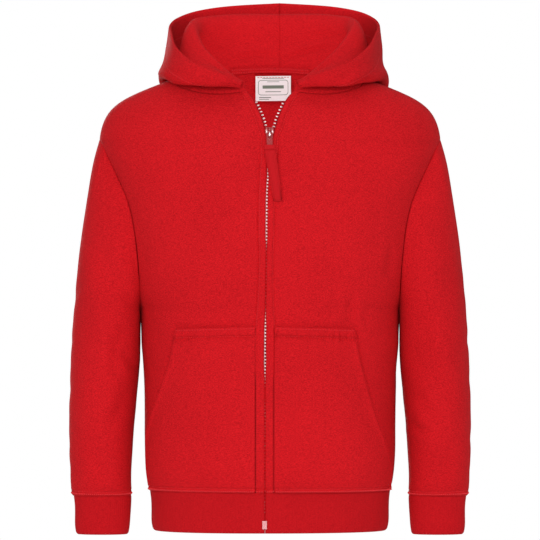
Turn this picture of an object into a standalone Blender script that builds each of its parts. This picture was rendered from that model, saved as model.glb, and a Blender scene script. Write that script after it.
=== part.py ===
# Kids zip hoodie, filled out and hollow, with no wearer. Front towards -Y, +Z up.
# The origin is the middle of the neck, level with the tops of the shoulders.
# All sizes below are millimetres; makeObject turns them into metres.
import math
import bpy
import numpy as np

metresPerMm = 0.001

# Cloth and seams
fleeceWall = 2.0
ribWall = 2.6
hoodWall = 1.6
liningWall = 1.4
seamGap = 0.3
layerGap = 0.3
bodyCurve = 2.4          # exponent of the body's rounded cross sections
sleeveCurve = 2.1

# Lengths down the garment
hemSeamHeight = -449.0
hemBottomHeight = -493.5
cuffSeamHeight = -455.3
cuffBottomHeight = -498.0
shoulderTipHeight = -60.0
underarmHeight = -250.0

# Zip
zipTopHeight = -8.0
sliderHeight = -62.0
zipOpenHalf = 27.0       # half width of the open V at the neck
panelGapHigh = 1.9       # half gap between the fronts where the teeth show
panelGapLow = 0.8        # and where the plackets close over them
tapeWidth = 12.0
tapeWall = 0.7
teethWall = 2.0
chainHalf = 1.6

fleeceRed = (0.60, 0.012, 0.018)
ribRed = (0.52, 0.010, 0.015)
liningRed = (0.55, 0.012, 0.018)
zipRed = (0.45, 0.010, 0.016)
paintRed = (0.50, 0.008, 0.014)
labelWhite = (0.86, 0.84, 0.84)


def table(names, rows):
    return {name: np.array([row[i] for row in rows], float) for i, name in enumerate(names)}


# Body form: half width and depths from the neck down to the hem seam
bodyForm = table(("height", "halfWidth", "front", "back"), [
    (hemBottomHeight, 129.3, 89, 84),
    (-487, 130.9, 89.5, 84),
    (-460, 131.8, 90, 84.5),
    (-449, 133.2, 93, 87),
    (-438, 136.0, 99, 90),
    (-425, 137.8, 102, 92),
    (-400, 139.2, 103, 92),
    (-340, 139.4, 103, 91.5),
    (-312, 140.4, 103.5, 91.5),
    (-290, 142.3, 104, 92),
    (-250, 143.2, 105, 92.5),
    (-237, 147.3, 105.5, 93),
    (-210, 154.0, 106.5, 94),
    (-181, 159.5, 107, 96),
    (-155, 162.5, 107, 97),
    (-135, 165.8, 106, 97),
    (-117, 170.0, 104.5, 95.5),
    (-100, 175.8, 102, 93),
    (-84, 182.0, 99, 90.5),
    (-72, 187.0, 96.3, 89),
    (-60, 189.0, 93, 87),
    (-45, 186.0, 86, 83.5),
    (-31.4, 179.3, 78, 79.5),
    (-19, 166.0, 70, 76),
    (-11.6, 152.6, 65, 74),
    (-5.5, 139.0, 61.5, 72.5),
    (-0.4, 126.0, 59.5, 71),
    (8, 104.0, 58, 69.5),
    (12, 92.0, 57, 69),
    (16.5, 80.0, 56, 67.5),
])

# Sleeve silhouette and the ring depths, from the armhole to the cuff
sleeveSides = table(("height", "outer", "inner"), [
    (cuffSeamHeight, 219.6, 153.2),
    (-438, 220.9, 153.9),
    (-412, 222.1, 152.8),
    (-385, 222.8, 151.2),
    (-345, 222.0, 147.8),
    (-322, 221.4, 145.6),
    (-300, 220.2, 144.4),
    (-250, 217.4, 144.6),
    (-205, 213.4, 144.0),
    (-172, 209.7, 144.0),
    (-139, 205.0, 144.0),
    (-112, 200.8, 144.0),
    (-85, 195.9, 144.0),
    (-72, 193.0, 144.0),
    (shoulderTipHeight, 189.0, 144.0),
])
sleeveDepths = table(("along", "halfDepth", "drift", "ease"), [
    (0.00, 52, 0, 1.00),
    (0.06, 54, 0, 0.72),
    (0.14, 56, 0, 0.45),
    (0.24, 57, 0, 0.22),
    (0.36, 57, -1, 0.06),
    (0.50, 55.5, -3, 0.0),
    (0.64, 51.5, -5, 0.0),
    (0.78, 45.5, -7, 0.0),
    (0.90, 38.5, -8, 0.0),
    (0.965, 33.5, -8, 0.0),
    (1.00, 27, -8, 0.0),
])
cuffRings = table(("height", "outer", "inner", "halfDepth"), [
    (cuffSeamHeight - seamGap, 217.6, 153.6, 25),
    (-460, 216.8, 153.7, 24),
    (-478, 215.9, 154.6, 23),
    (-493, 215.4, 156.2, 22.5),
    (cuffBottomHeight, 214.2, 157.2, 21.5),
])

# Armhole seam seen from the front, from the shoulder tip to the underarm
armholeSeam = table(("share", "across", "height"), [
    (0.000, 189.0, shoulderTipHeight),
    (0.125, 178.5, -82),
    (0.250, 166.5, -107),
    (0.375, 156.0, -132),
    (0.500, 150.4, -156),
    (0.625, 147.0, -181),
    (0.750, 144.6, -208),
    (0.875, 143.6, -235),
    (1.000, 143.2, underarmHeight),
])

# Neck seam from the zip round to the middle of the back
frontNeck = table(("across", "height"), [
    (zipOpenHalf + 1, zipTopHeight), (42, -11), (58, -12), (72, -11),
    (83, -9), (92, -6), (99, -3), (102.6, 3), (104, 8)])
backNeck = table(("across", "height"), [
    (0, 16.5), (20, 16), (36, 15), (52, 13.9), (72, 12), (86, 10.4), (98, 9), (104, 8)])

# Hood stations from the zip end (0) to the centre back seam (1).
# Each row gives the crest of the stand, the fold at the bottom of the hollow and the free rim.
hoodStations = table(
    ("share", "crestX", "crestY", "crestZ", "crestRound", "foldX", "foldY", "foldZ", "foldRound",
     "rimX", "rimY", "rimZ", "bulge", "lean"), [
        (0.00, 29.5, -64, 2, 3.0, 33, -70.5, -6.5, 3.0, 31, -75, -1, 0, 0),
        (0.10, 44, -52, 10, 4.2, 57, -75, -4, 3.8, 52, -80, 9, 1, 0),
        (0.20, 61, -37, 25, 5.5, 83, -69, -2, 4.8, 78, -73, 19, 1, 0.5),
        (0.29, 75, -21, 39, 6.5, 103, -52, 0.5, 5.5, 95, -58, 30, 1, 1),
        (0.39, 85, -3, 54, 7.5, 115, -26, 3.5, 6.0, 107, -33, 43, 0, 2.5),
        (0.49, 91, 19, 67.5, 9.0, 120, 5, 4.5, 6.5, 113, 6, 57, -1, 4),
        (0.60, 88, 44, 74.5, 10, 120, 40, -4, 7.0, 116.5, 50, 69.5, -1, 5),
        (0.74, 68, 67, 79, 11, 99, 79, -48, 8.0, 103.5, 96, 83, 3, 7),
        (0.87, 38, 80, 81.5, 11, 57, 100, -92, 8.5, 58, 126, 94, 9, 9.5),
        (1.00, 0, 85, 81.5, 11, 0, 107, -106, 8.5, 0, 136, 98, 12, 11),
    ])

# Pouch pocket, distances seen from the front
pocketTopHeight = -268.5
pocketTopRise = 2.6      # how much higher the top edge is at the zip than at the hand opening
pocketInnerGap = 10.5
pocketEdges = {
    1: table(("height", "across"), [
        (hemSeamHeight, 131.6), (-424, 132.6), (-408, 129.4), (-395, 124.9), (-381, 119.2),
        (-354, 110.4), (-328, 103.2), (-302, 96.8), (-282, 92.8), (pocketTopHeight, 91.6)]),
    -1: table(("height", "across"), [
        (hemSeamHeight, 131.6), (-425, 134.8), (-400, 135.6), (-384, 133.4), (-368, 129.4),
        (-348, 122.5), (-322, 113.7), (-295, 106.2), (pocketTopHeight, 102.3)])}
pocketWall = 1.8
pocketGap = 0.7


# Curves
def slopes(x, y):
    steps = np.diff(x)
    rises = np.diff(y) / steps
    slope = np.zeros(len(x))
    slope[0], slope[-1] = rises[0], rises[-1]
    for i in range(1, len(x) - 1):
        if rises[i - 1] * rises[i] > 0:
            before = 2 * steps[i] + steps[i - 1]
            after = steps[i] + 2 * steps[i - 1]
            slope[i] = (before + after) / (before / rises[i - 1] + after / rises[i])
    return slope


def smooth(rows, column, at, key="height"):
    # Value of a column at one key, on a curve that never overshoots its rows
    x, y = rows[key], rows[column]
    at = min(max(at, x[0]), x[-1])
    i = min(int(np.searchsorted(x, at, side="right")) - 1, len(x) - 2)
    slope = slopes(x, y)
    step = x[i + 1] - x[i]
    t = (at - x[i]) / step
    return ((2 * t**3 - 3 * t**2 + 1) * y[i] + (t**3 - 2 * t**2 + t) * step * slope[i]
            + (3 * t**2 - 2 * t**3) * y[i + 1] + (t**3 - t**2) * step * slope[i + 1])


def unit(v):
    return v / max(np.linalg.norm(v), 1e-9)


def throughPoints(points, perSpan):
    # Centripetal Catmull-Rom curve with perSpan steps between neighbours
    pts = [2 * points[0] - points[1]] + list(points) + [2 * points[-1] - points[-2]]
    knots = [0.0]
    for a, b in zip(pts, pts[1:]):
        knots.append(knots[-1] + max(np.linalg.norm(b - a), 1e-6) ** 0.5)
    result = []
    for i in range(1, len(pts) - 2):
        p0, p1, p2, p3 = pts[i - 1:i + 3]
        k0, k1, k2, k3 = knots[i - 1:i + 3]
        for step in range(perSpan):
            k = k1 + (k2 - k1) * step / perSpan
            a1 = (k1 - k) / (k1 - k0) * p0 + (k - k0) / (k1 - k0) * p1
            a2 = (k2 - k) / (k2 - k1) * p1 + (k - k1) / (k2 - k1) * p2
            a3 = (k3 - k) / (k3 - k2) * p2 + (k - k2) / (k3 - k2) * p3
            b1 = (k2 - k) / (k2 - k0) * a1 + (k - k0) / (k2 - k0) * a2
            b2 = (k3 - k) / (k3 - k1) * a2 + (k - k1) / (k3 - k1) * a3
            result.append((k2 - k) / (k2 - k1) * b1 + (k - k1) / (k2 - k1) * b2)
    result.append(points[-1])
    return np.array(result)


# Body form
def bodyPoint(across, height, back=False):
    # Point on the outside of the body; across is signed, y follows the cross section
    halfWidth = smooth(bodyForm, "halfWidth", height)
    depth = smooth(bodyForm, "back" if back else "front", height)
    share = min(abs(across) / halfWidth, 1.0)
    y = depth * (1 - share**bodyCurve) ** (1 / bodyCurve)
    return np.array([across, y if back else -y, height])


def bodyAngle(across, height):
    share = min(abs(across) / smooth(bodyForm, "halfWidth", height), 1.0)
    return math.asin(share ** (bodyCurve / 2))


def atAngle(angle, height, side, back=False):
    halfWidth = smooth(bodyForm, "halfWidth", height)
    across = halfWidth * math.sin(abs(angle)) ** (2 / bodyCurve)
    point = bodyPoint(side * across, height, back)
    depth = smooth(bodyForm, "back" if back else "front", height)
    point[1] = (1 if back else -1) * depth * max(math.cos(angle), 0.0) ** (2 / bodyCurve)
    return point


def bodyNormal(point, back=False):
    def level(p):
        halfWidth = smooth(bodyForm, "halfWidth", p[2])
        depth = smooth(bodyForm, "back" if back else "front", p[2])
        return (abs(p[0]) / halfWidth) ** bodyCurve + (abs(p[1]) / depth) ** bodyCurve
    step = 0.5
    slope = [level(point + step * axis) - level(point - step * axis) for axis in np.eye(3)]
    if abs(point[1]) < 0.6:
        slope[1] = 0.0
    return unit(np.array(slope))


# Meshes
def makeMaterial(name, colour, roughness, metallic=0.0):
    material = bpy.data.materials.new(name)
    material.use_nodes = True
    shader = material.node_tree.nodes["Principled BSDF"]
    shader.inputs["Base Color"].default_value = (*colour, 1.0)
    shader.inputs["Roughness"].default_value = roughness
    shader.inputs["Metallic"].default_value = metallic
    material.diffuse_color = (*colour, 1.0)
    return material


def makeObject(name, points, faces, colour, roughness=0.9, metallic=0.0, parent=None):
    mesh = bpy.data.meshes.new(name)
    origin = np.zeros(3) if parent is None else np.array(parent.location) / metresPerMm
    mesh.from_pydata([tuple((np.array(p) - origin) * metresPerMm) for p in points], [], faces)
    mesh.validate()
    mesh.shade_smooth()
    mesh.set_sharp_from_angle(angle=math.radians(50))
    obj = bpy.data.objects.new(name, mesh)
    bpy.context.scene.collection.objects.link(obj)
    obj.parent = parent
    mesh.materials.append(makeMaterial(name, colour, roughness, metallic))
    return obj


def wall(outer, inner, closed=False):
    # Solid between two grids of points; closed joins the last column to the first
    rows, columns = outer.shape[:2]
    points = list(outer.reshape(-1, 3)) + list(inner.reshape(-1, 3))
    base = rows * columns
    faces = []
    spans = columns if closed else columns - 1
    for r in range(rows - 1):
        for c in range(spans):
            d = (c + 1) % columns
            near, far = (r * columns + c, r * columns + d), ((r + 1) * columns + c, (r + 1) * columns + d)
            for face in ((near[0], near[1], far[1]), (near[0], far[1], far[0])):
                faces.append(face)
                faces.append(tuple(base + i for i in reversed(face)))
    for c in range(spans):
        d = (c + 1) % columns
        faces.append((d, c, base + c, base + d))
        top = (rows - 1) * columns
        faces.append((top + c, top + d, base + top + d, base + top + c))
    if not closed:
        for r in range(rows - 1):
            a, b = r * columns, (r + 1) * columns
            faces.append((a, b, base + b, base + a))
            a, b = a + columns - 1, b + columns - 1
            faces.append((b, a, base + a, base + b))
    return points, faces


def outward(points, faces):
    # Faces turned so that the solid's volume is positive
    volume = 0.0
    for face in faces:
        a = points[face[0]]
        for i in range(1, len(face) - 1):
            volume += np.dot(a, np.cross(points[face[i]], points[face[i + 1]]))
    return faces if volume > 0 else [tuple(reversed(face)) for face in faces]


def clothWall(name, outer, inner, colour, closed=False, roughness=0.92, parent=None):
    points, faces = wall(outer, inner, closed)
    return makeObject(name, points, outward(points, faces), colour, roughness, parent=parent)


# Armhole
loopSteps = 8


def armholePoint(step, side, back):
    share = step / loopSteps
    across = smooth(armholeSeam, "across", share, key="share")
    height = smooth(armholeSeam, "height", share, key="share")
    if step in (0, loopSteps):
        return np.array([side * across, 0.0, height])
    return bodyPoint(side * across, height, back)


def armholeFrame(side):
    # The seam lies close to one plane: its outward normal, and its middle
    tip, under = armholePoint(0, side, False), armholePoint(loopSteps, side, False)
    chord = unit(under - tip)
    away = np.array([side * abs(chord[2]), 0.0, -abs(chord[0])])
    return away, (tip + under) / 2


def armholeInward(point, side):
    away, middle = armholeFrame(side)
    toMiddle = middle - point
    toMiddle -= away * np.dot(toMiddle, away)
    return unit(toMiddle)


# Fronts and back
sideHeights = [hemSeamHeight, -440, -426, -385, -335, -285]
shoulderHeights = [-51, -41, -30, -18, -6, 8]


def zipCentre(height):
    return smooth(zipLine, "across", height)


zipLine = table(("height", "across"), [
    (-500, -5.9), (-300, -5.8), (-250, -5.2), (-190, -4.3), (-134, -4.0), (-100, -2.6), (-66, -0.6),
    (-50, 0.0), (20, 0.0)])
zipOpening = table(("height", "halfGap"), [
    (-500, panelGapLow), (-332, panelGapLow), (-312, panelGapHigh), (-262, panelGapHigh),
    (-246, panelGapLow), (-184, panelGapLow), (-170, panelGapHigh), (-66, panelGapHigh),
    (-60, 2.3), (-55, 3.8), (-49, 6.4), (-40, 8.9), (-30, 13.0), (-22, 16.7), (-15, 20.8),
    (zipTopHeight, zipOpenHalf)])


def edgeAcross(height):
    return smooth(zipOpening, "halfGap", height)


def outerEdge(side, back):
    # Points of the side seam, armhole and shoulder seam, with what lies inward at each
    edge = []
    shift = seamGap / 2 * (1 if back else -1)
    away, _ = armholeFrame(side)
    for height in sideHeights:
        point = atAngle(math.pi / 2, height, side)
        point[1] = shift
        edge.append((point, None))
    for step in range(loopSteps, -1, -1):
        point = armholePoint(step, side, back)
        inwards = armholeInward(point, side)
        point = point - away * seamGap / 2
        if step in (0, loopSteps):
            point[1] = shift
        edge.append((point, inwards))
    for height in shoulderHeights:
        point = atAngle(math.pi / 2, height, side)
        point[1] = shift
        edge.append((point, None))
    return edge


def neckHeight(across, back):
    rows = backNeck if back else frontNeck
    return smooth(rows, "height", across, key="across")


def panelGrid(side, back, columns):
    # Grid of one half: column 0 is the centre front or back, the last is the outer edge
    edge = outerEdge(side, back)
    rows = len(edge)
    firstShoulder = rows - len(shoulderHeights)
    grid = np.zeros((rows, columns, 3))
    inward = np.zeros((rows, columns, 3))
    centreTop = backNeck["height"][0] if back else zipTopHeight
    innerAcross = 0.0 if back else edgeAcross(zipTopHeight)
    for r, (outerPoint, outerInward) in enumerate(edge):
        rise = max(0.0, (outerPoint[2] - shoulderTipHeight) / (8 - shoulderTipHeight))
        topShare = max(0.0, (r - firstShoulder + 1) / len(shoulderHeights)) ** 1.5
        centreHeight = outerPoint[2]
        if rise > 0:
            centreHeight = shoulderTipHeight + rise * (centreTop - shoulderTipHeight)
        angleOuter = math.pi / 2
        if outerInward is not None:
            angleOuter = bodyAngle(outerPoint[0], outerPoint[2])
        centreX = 0.0 if back else edgeAcross(centreHeight)
        zipShift = 0.0 if back else zipCentre(centreHeight)
        angleCentre = bodyAngle(centreX, centreHeight)
        for c in range(columns):
            s = c / (columns - 1)
            height = centreHeight + (outerPoint[2] - centreHeight) * s
            angle = angleCentre + (angleOuter - angleCentre) * s
            if topShare > 0:
                neckAcross = innerAcross + (104 - innerAcross) * math.sin(s * math.pi / 2) ** 0.9
                neckZ = neckHeight(neckAcross, back)
                flatZ = centreTop + (8 - centreTop) * s
                neckAngle = bodyAngle(neckAcross, neckZ) if c < columns - 1 else math.pi / 2
                flatAngle = bodyAngle(innerAcross, centreTop)
                flatAngle += (math.pi / 2 - flatAngle) * s
                height += topShare * (neckZ - flatZ)
                angle += topShare * (neckAngle - flatAngle)
            point = atAngle(angle, height, side, back)
            if c == columns - 1:
                point = outerPoint.copy()
            else:
                point = bodyPoint(point[0] + zipShift * (1 - s) ** 2, point[2], back)
                point[1] += seamGap / 2 * (1 if back else -1)
            grid[r, c] = point
            inward[r, c] = -bodyNormal(point, back)
            if c == columns - 1 and outerInward is not None:
                inward[r, c] = outerInward
    grid[0, :, 2] += seamGap / 2
    grid[0, :, 2] = grid[0, 0, 2]
    return grid, inward


def thickness(inward, grid, side, back, amount):
    # Full wall at the armhole too, where the wall direction is shared by both pieces
    offset = inward * amount
    last = inward.shape[1] - 1
    for r in range(inward.shape[0]):
        true = -bodyNormal(grid[r, last], back)
        lean = abs(np.dot(true, inward[r, last]))
        if lean < 0.98:
            offset[r, last] = inward[r, last] * amount * min(1 / max(lean, 0.3), 1.5)
    return offset


frontColumns = 11
backColumns = 10


def makeFronts():
    for name, side in (("front_left", 1), ("front_right", -1)):
        grid, inward = panelGrid(side, False, frontColumns)
        inner = grid + thickness(inward, grid, side, False, fleeceWall)
        clothWall(name, grid, inner, fleeceRed)


def makeBack():
    halves = []
    for side in (-1, 1):
        grid, inward = panelGrid(side, True, backColumns)
        halves.append((grid, grid + thickness(inward, grid, side, True, fleeceWall)))
    (leftGrid, leftInner), (rightGrid, rightInner) = halves
    outer = np.concatenate([leftGrid[:, ::-1], rightGrid[:, 1:]], axis=1)
    inner = np.concatenate([leftInner[:, ::-1], rightInner[:, 1:]], axis=1)
    clothWall("back", outer, inner, fleeceRed)


# Sleeves and cuffs
def ringPoint(centre, armAcross, halfDepth, turn):
    # turn 0 is the outer side, then round by the front to the inner side
    across = math.copysign(abs(math.cos(turn)) ** (2 / sleeveCurve), math.cos(turn))
    depth = math.copysign(abs(math.sin(turn)) ** (2 / sleeveCurve), math.sin(turn))
    return centre + armAcross * across + np.array([0.0, -halfDepth * depth, 0.0])


def gridNormals(grid):
    # Unit normals of a tube's grid: rows along it, columns round it
    along = np.gradient(grid, axis=0)
    around = np.roll(grid, -1, axis=1) - np.roll(grid, 1, axis=1)
    normals = np.cross(around, along)
    normals /= np.linalg.norm(normals, axis=2, keepdims=True)
    middle = grid.mean(axis=1, keepdims=True)
    if np.sum((grid - middle) * normals) < 0:
        normals = -normals
    return normals


def sleeveGrid(side):
    count = 2 * loopSteps
    away, _ = armholeFrame(side)
    seam, seamInward = [], []
    for j in range(count):
        back = j > loopSteps
        step = j if j <= loopSteps else count - j
        point = armholePoint(step, side, back)
        seamInward.append(armholeInward(point, side))
        seam.append(point + away * seamGap / 2)
    rings = []
    firstRing = None
    for row, along in enumerate(sleeveDepths["along"]):
        outerHeight = shoulderTipHeight + along * (cuffSeamHeight - shoulderTipHeight)
        innerHeight = underarmHeight + along * (cuffSeamHeight - underarmHeight)
        outerX = smooth(sleeveSides, "outer", outerHeight)
        innerX = smooth(sleeveSides, "inner", innerHeight)
        outerPoint = np.array([side * outerX, sleeveDepths["drift"][row], outerHeight])
        innerPoint = np.array([side * innerX, sleeveDepths["drift"][row], innerHeight])
        centre, arm = (outerPoint + innerPoint) / 2, (outerPoint - innerPoint) / 2
        depth = sleeveDepths["halfDepth"][row]
        ring = np.array([ringPoint(centre, arm, depth, 2 * math.pi * j / count)
                         for j in range(count)])
        if row == 0:
            firstRing = np.array(seam) - ring
        rings.append(ring + firstRing * sleeveDepths["ease"][row])
    return np.array(rings), np.array(seamInward)


def makeSleeves():
    for name, side in (("left", 1), ("right", -1)):
        grid, seamInward = sleeveGrid(side)
        normals = gridNormals(grid)
        offset = -normals * fleeceWall
        for j in range(grid.shape[1]):
            lean = max(abs(np.dot(normals[0, j], seamInward[j])), 0.6)
            offset[0, j] = seamInward[j] * fleeceWall * min(1 / lean, 1.3)
        offset[-1, :, 2] = 0.0
        clothWall("sleeve_" + name, grid, grid + offset, fleeceRed, closed=True)

        rings = []
        for row in range(len(cuffRings["height"])):
            height = cuffRings["height"][row]
            outerX, innerX = cuffRings["outer"][row], cuffRings["inner"][row]
            centre = np.array([side * (outerX + innerX) / 2, sleeveDepths["drift"][-1], height])
            arm = np.array([side * (outerX - innerX) / 2, 0.0, 0.0])
            halfDepth = cuffRings["halfDepth"][row]
            rings.append([ringPoint(centre, arm, halfDepth, math.pi * j / loopSteps)
                          for j in range(2 * loopSteps)])
        outer = np.array(rings)
        inward = -gridNormals(outer) * ribWall
        inward[:, :, 2] = 0.0
        clothWall("cuff_" + name, outer, outer + inward, ribRed, closed=True, roughness=0.85)


# Hem band
hemRows = [hemSeamHeight - seamGap / 2, -456, -474, -487, hemBottomHeight]
hemSteps = 38


def makeHem():
    outer = np.zeros((len(hemRows), hemSteps + 1, 3))
    inner = np.zeros_like(outer)
    for r, height in enumerate(hemRows):
        start = bodyAngle(edgeAcross(height), height)
        for c in range(hemSteps + 1):
            turn = start + (2 * math.pi - 2 * start) * c / hemSteps
            side = 1 if turn <= math.pi else -1
            back = math.pi / 2 < turn < 1.5 * math.pi
            angle = math.asin(min(abs(math.sin(turn)), 1.0))
            point = atAngle(angle, height, side, back)
            closeness = max(0.0, math.cos(turn)) ** 4
            point[0] += zipCentre(height) * closeness
            outer[r, c] = point
            normal = bodyNormal(point, back)
            normal[2] = 0.0
            inner[r, c] = point - unit(normal) * ribWall
    clothWall("hem_band", outer, inner, ribRed, roughness=0.85)


# Pockets
pocketAcrossSteps = 9
pocketRows = [-448.6, -440, -426, -410, -390, -370, -350, -326, -298, pocketTopHeight]


def makePockets():
    for name, side in (("pocket_left", 1), ("pocket_right", -1)):
        rows = []
        for height in pocketRows:
            low = side * zipCentre(height) + pocketInnerGap
            high = smooth(pocketEdges[side], "across", height)
            upward = (height - pocketRows[0]) / (pocketTopHeight - pocketRows[0])
            angles = (bodyAngle(low, height), bodyAngle(high, height))
            row = []
            for c in range(pocketAcrossSteps + 1):
                angle = angles[0] + (angles[1] - angles[0]) * c / pocketAcrossSteps
                rise = pocketTopRise * upward**3 * (0.5 - c / pocketAcrossSteps)
                row.append(atAngle(angle, height + rise, side))
            rows.append(row)
        base = np.array(rows)
        normals = np.array([[bodyNormal(p) for p in row] for row in base])
        inner = base + normals * pocketGap
        outer = base + normals * (pocketGap + pocketWall)
        opening = len(pocketRows) - 1
        for r in range(4, opening):
            lift = normals[r, -1] * 1.6 * math.sin((r - 3) / (opening - 3) * math.pi)
            outer[r, -1] += lift
            inner[r, -1] += lift
        clothWall(name, outer, inner, fleeceRed)


# Zip
def zipPoint(across, height, depth):
    # Point near the zip: across from the zip's middle, depth behind the cloth's face
    point = bodyPoint(across, height)
    normal = bodyNormal(point)
    point = point - normal * depth
    point[0] += zipCentre(height)
    return point


zipHeights = [-489, -474, -456, -446, -436, -424, -390, -350, -310, -270, -230, -190, -150, -115,
              -95, -80, -66]
openHeights = [-58, -52, -48.5, -40, -30, -20, -10.5]
tapeDepth = ribWall + 1.1
teethLead = 0.7          # teeth stand this far in front of their tape
openTeethReach = 1.8
tapeLap = 2.2            # how far the tape's woven edge stands out of the opened front


def zipInner(height):
    # Distance of the tape's inner edge from the zip's middle
    closed = chainHalf + 0.35
    return max(closed, edgeAcross(height) - tapeLap)


def makeZipTapes():
    for name, side in (("zip_tape_left", 1), ("zip_tape_right", -1)):
        front, behind = [], []
        for height in zipHeights + openHeights:
            inner = zipInner(height)
            stops = [inner, inner + tapeWidth / 2, inner + tapeWidth]
            front.append([zipPoint(side * a, height, tapeDepth) for a in stops])
            behind.append([zipPoint(side * a, height, tapeDepth + tapeWall) for a in stops])
        clothWall(name, np.array(front), np.array(behind), zipRed)


def teethStrip(name, heights, inner, outer):
    near = tapeDepth - teethLead
    front, behind = [], []
    for height in heights:
        stops = (inner(height), outer(height))
        front.append([zipPoint(a, height, near) for a in stops])
        behind.append([zipPoint(a, height, near + teethWall) for a in stops])
    clothWall(name, np.array(front), np.array(behind), zipRed, roughness=0.45)


def makeTeeth():
    teethStrip("zip_chain", zipHeights[:-1] + [-69], lambda z: -chainHalf, lambda z: chainHalf)
    for name, side in (("zip_teeth_left", 1), ("zip_teeth_right", -1)):
        teethStrip(name, openHeights[2:-1], lambda z: side * (zipInner(z) - openTeethReach),
                   lambda z: side * (zipInner(z) - layerGap))


# Slider, bridge, pull tab and its tape, drawn in the slider's own frame:
# u across, v up along the zip, w out of the cloth
sliderWidth = 8.6
sliderLength = 15.0
plateWall = 1.6
frontPlateBack = 0.6     # front plate's back face, above the cloth's face
backPlateFront = -5.5
neckWidth = 2.2
pivotLift = 1.75         # pull tab's axis above the front plate
tabWidth = 6.4
tabLength = 17.0
tabWall = 1.2
pullLength = 64.0
pullWidth = 11.5
pullLean = math.radians(8.5)
boxHeight = -484.0
boxWidth = 5.0
boxLength = 9.0
boxWall = 1.6
boxLift = 0.6
pullClear = 1.6          # between the hanging tape and the chest


def zipAxes(height, reach):
    # Across, up along the zip and out of the cloth, at one height
    up = zipPoint(0.0, height + reach, 0.0) - zipPoint(0.0, height - reach, 0.0)
    up[0] = 0.0
    up = unit(up)
    across = np.array([1.0, 0.0, 0.0])
    return across, up, unit(np.cross(across, up))


def sliderFrame():
    return (zipPoint(0.0, sliderHeight, 0.0), *zipAxes(sliderHeight, 8.0))


def placed(frame, local):
    origin, across, up, out = frame
    return [origin + across * u + up * v + out * w for u, v, w in local]


def extrudedLoop(loop, low, high, toPoint):
    # Prism over a simple closed outline; toPoint turns (a, b, height) into a point
    count = len(loop)
    local = [toPoint(a, b, low) for a, b in loop] + [toPoint(a, b, high) for a, b in loop]
    faces = [tuple(range(count)), tuple(range(2 * count - 1, count - 1, -1))]
    for i in range(count):
        j = (i + 1) % count
        faces.append((i, i + count, j + count, j))
    return local, faces


def makeSlider():
    frame = sliderFrame()
    half, neck = sliderWidth / 2, neckWidth / 2
    front = frontPlateBack + plateWall
    back = backPlateFront - plateWall
    profile = [(-half, frontPlateBack), (-neck, frontPlateBack), (-neck, backPlateFront),
               (-half, backPlateFront), (-half, back), (half, back), (half, backPlateFront),
               (neck, backPlateFront), (neck, frontPlateBack), (half, frontPlateBack),
               (half, front), (-half, front)]
    body, faces = extrudedLoop(profile, -3.0, sliderLength - 3.0, lambda a, b, v: (a, v, b))
    points = placed(frame, body)
    makeObject("zip_slider", points, outward(points, faces), paintRed, 0.35)
    # The bridge over the pull tab's eye
    lift = pivotLift + 1.9
    side = [(-1.0, 0.3), (1.6, 0.3), (1.6, pivotLift + 0.9), (2.6, pivotLift + 1.0),
            (6.6, pivotLift + 1.0), (7.6, pivotLift + 0.9), (7.6, 0.3), (9.8, 0.3),
            (9.6, pivotLift + 1.0), (8.2, lift), (1.0, lift), (-0.8, pivotLift + 1.0)]
    bridge, faces = extrudedLoop(side, -1.0, 1.0, lambda a, b, u: (u, a, front + b))
    points = placed(frame, bridge)
    makeObject("zip_bridge", points, outward(points, faces), paintRed, 0.35)


def pullAxis(frame):
    origin, across, up, out = frame
    lift = frontPlateBack + plateWall + pivotLift
    return origin + up * 4.4 + out * lift


def onChest(point, lift):
    # The point moved level until it is lift in front of the chest
    height = point[2]
    chest = bodyPoint(point[0], height)
    slope = bodyNormal(chest)
    return np.array([point[0], chest[1] - lift / max(-slope[1], 0.5), height])


def ringPlate(outerLoop, innerLoop, low, high):
    # Flat plate with one hole; the loops have as many points as each other
    count = len(outerLoop)
    local = []
    for level in (low, high):
        local += [(u, v, level) for u, v in outerLoop] + [(u, v, level) for u, v in innerLoop]
    faces = []
    for i in range(count):
        j = (i + 1) % count
        faces.append((i, j, count + j, count + i))
        faces.append((2 * count + i, 3 * count + i, 3 * count + j, 2 * count + j))
        faces.append((i, 2 * count + i, 2 * count + j, j))
        faces.append((count + i, count + j, 3 * count + j, 3 * count + i))
    return local, faces


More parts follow.
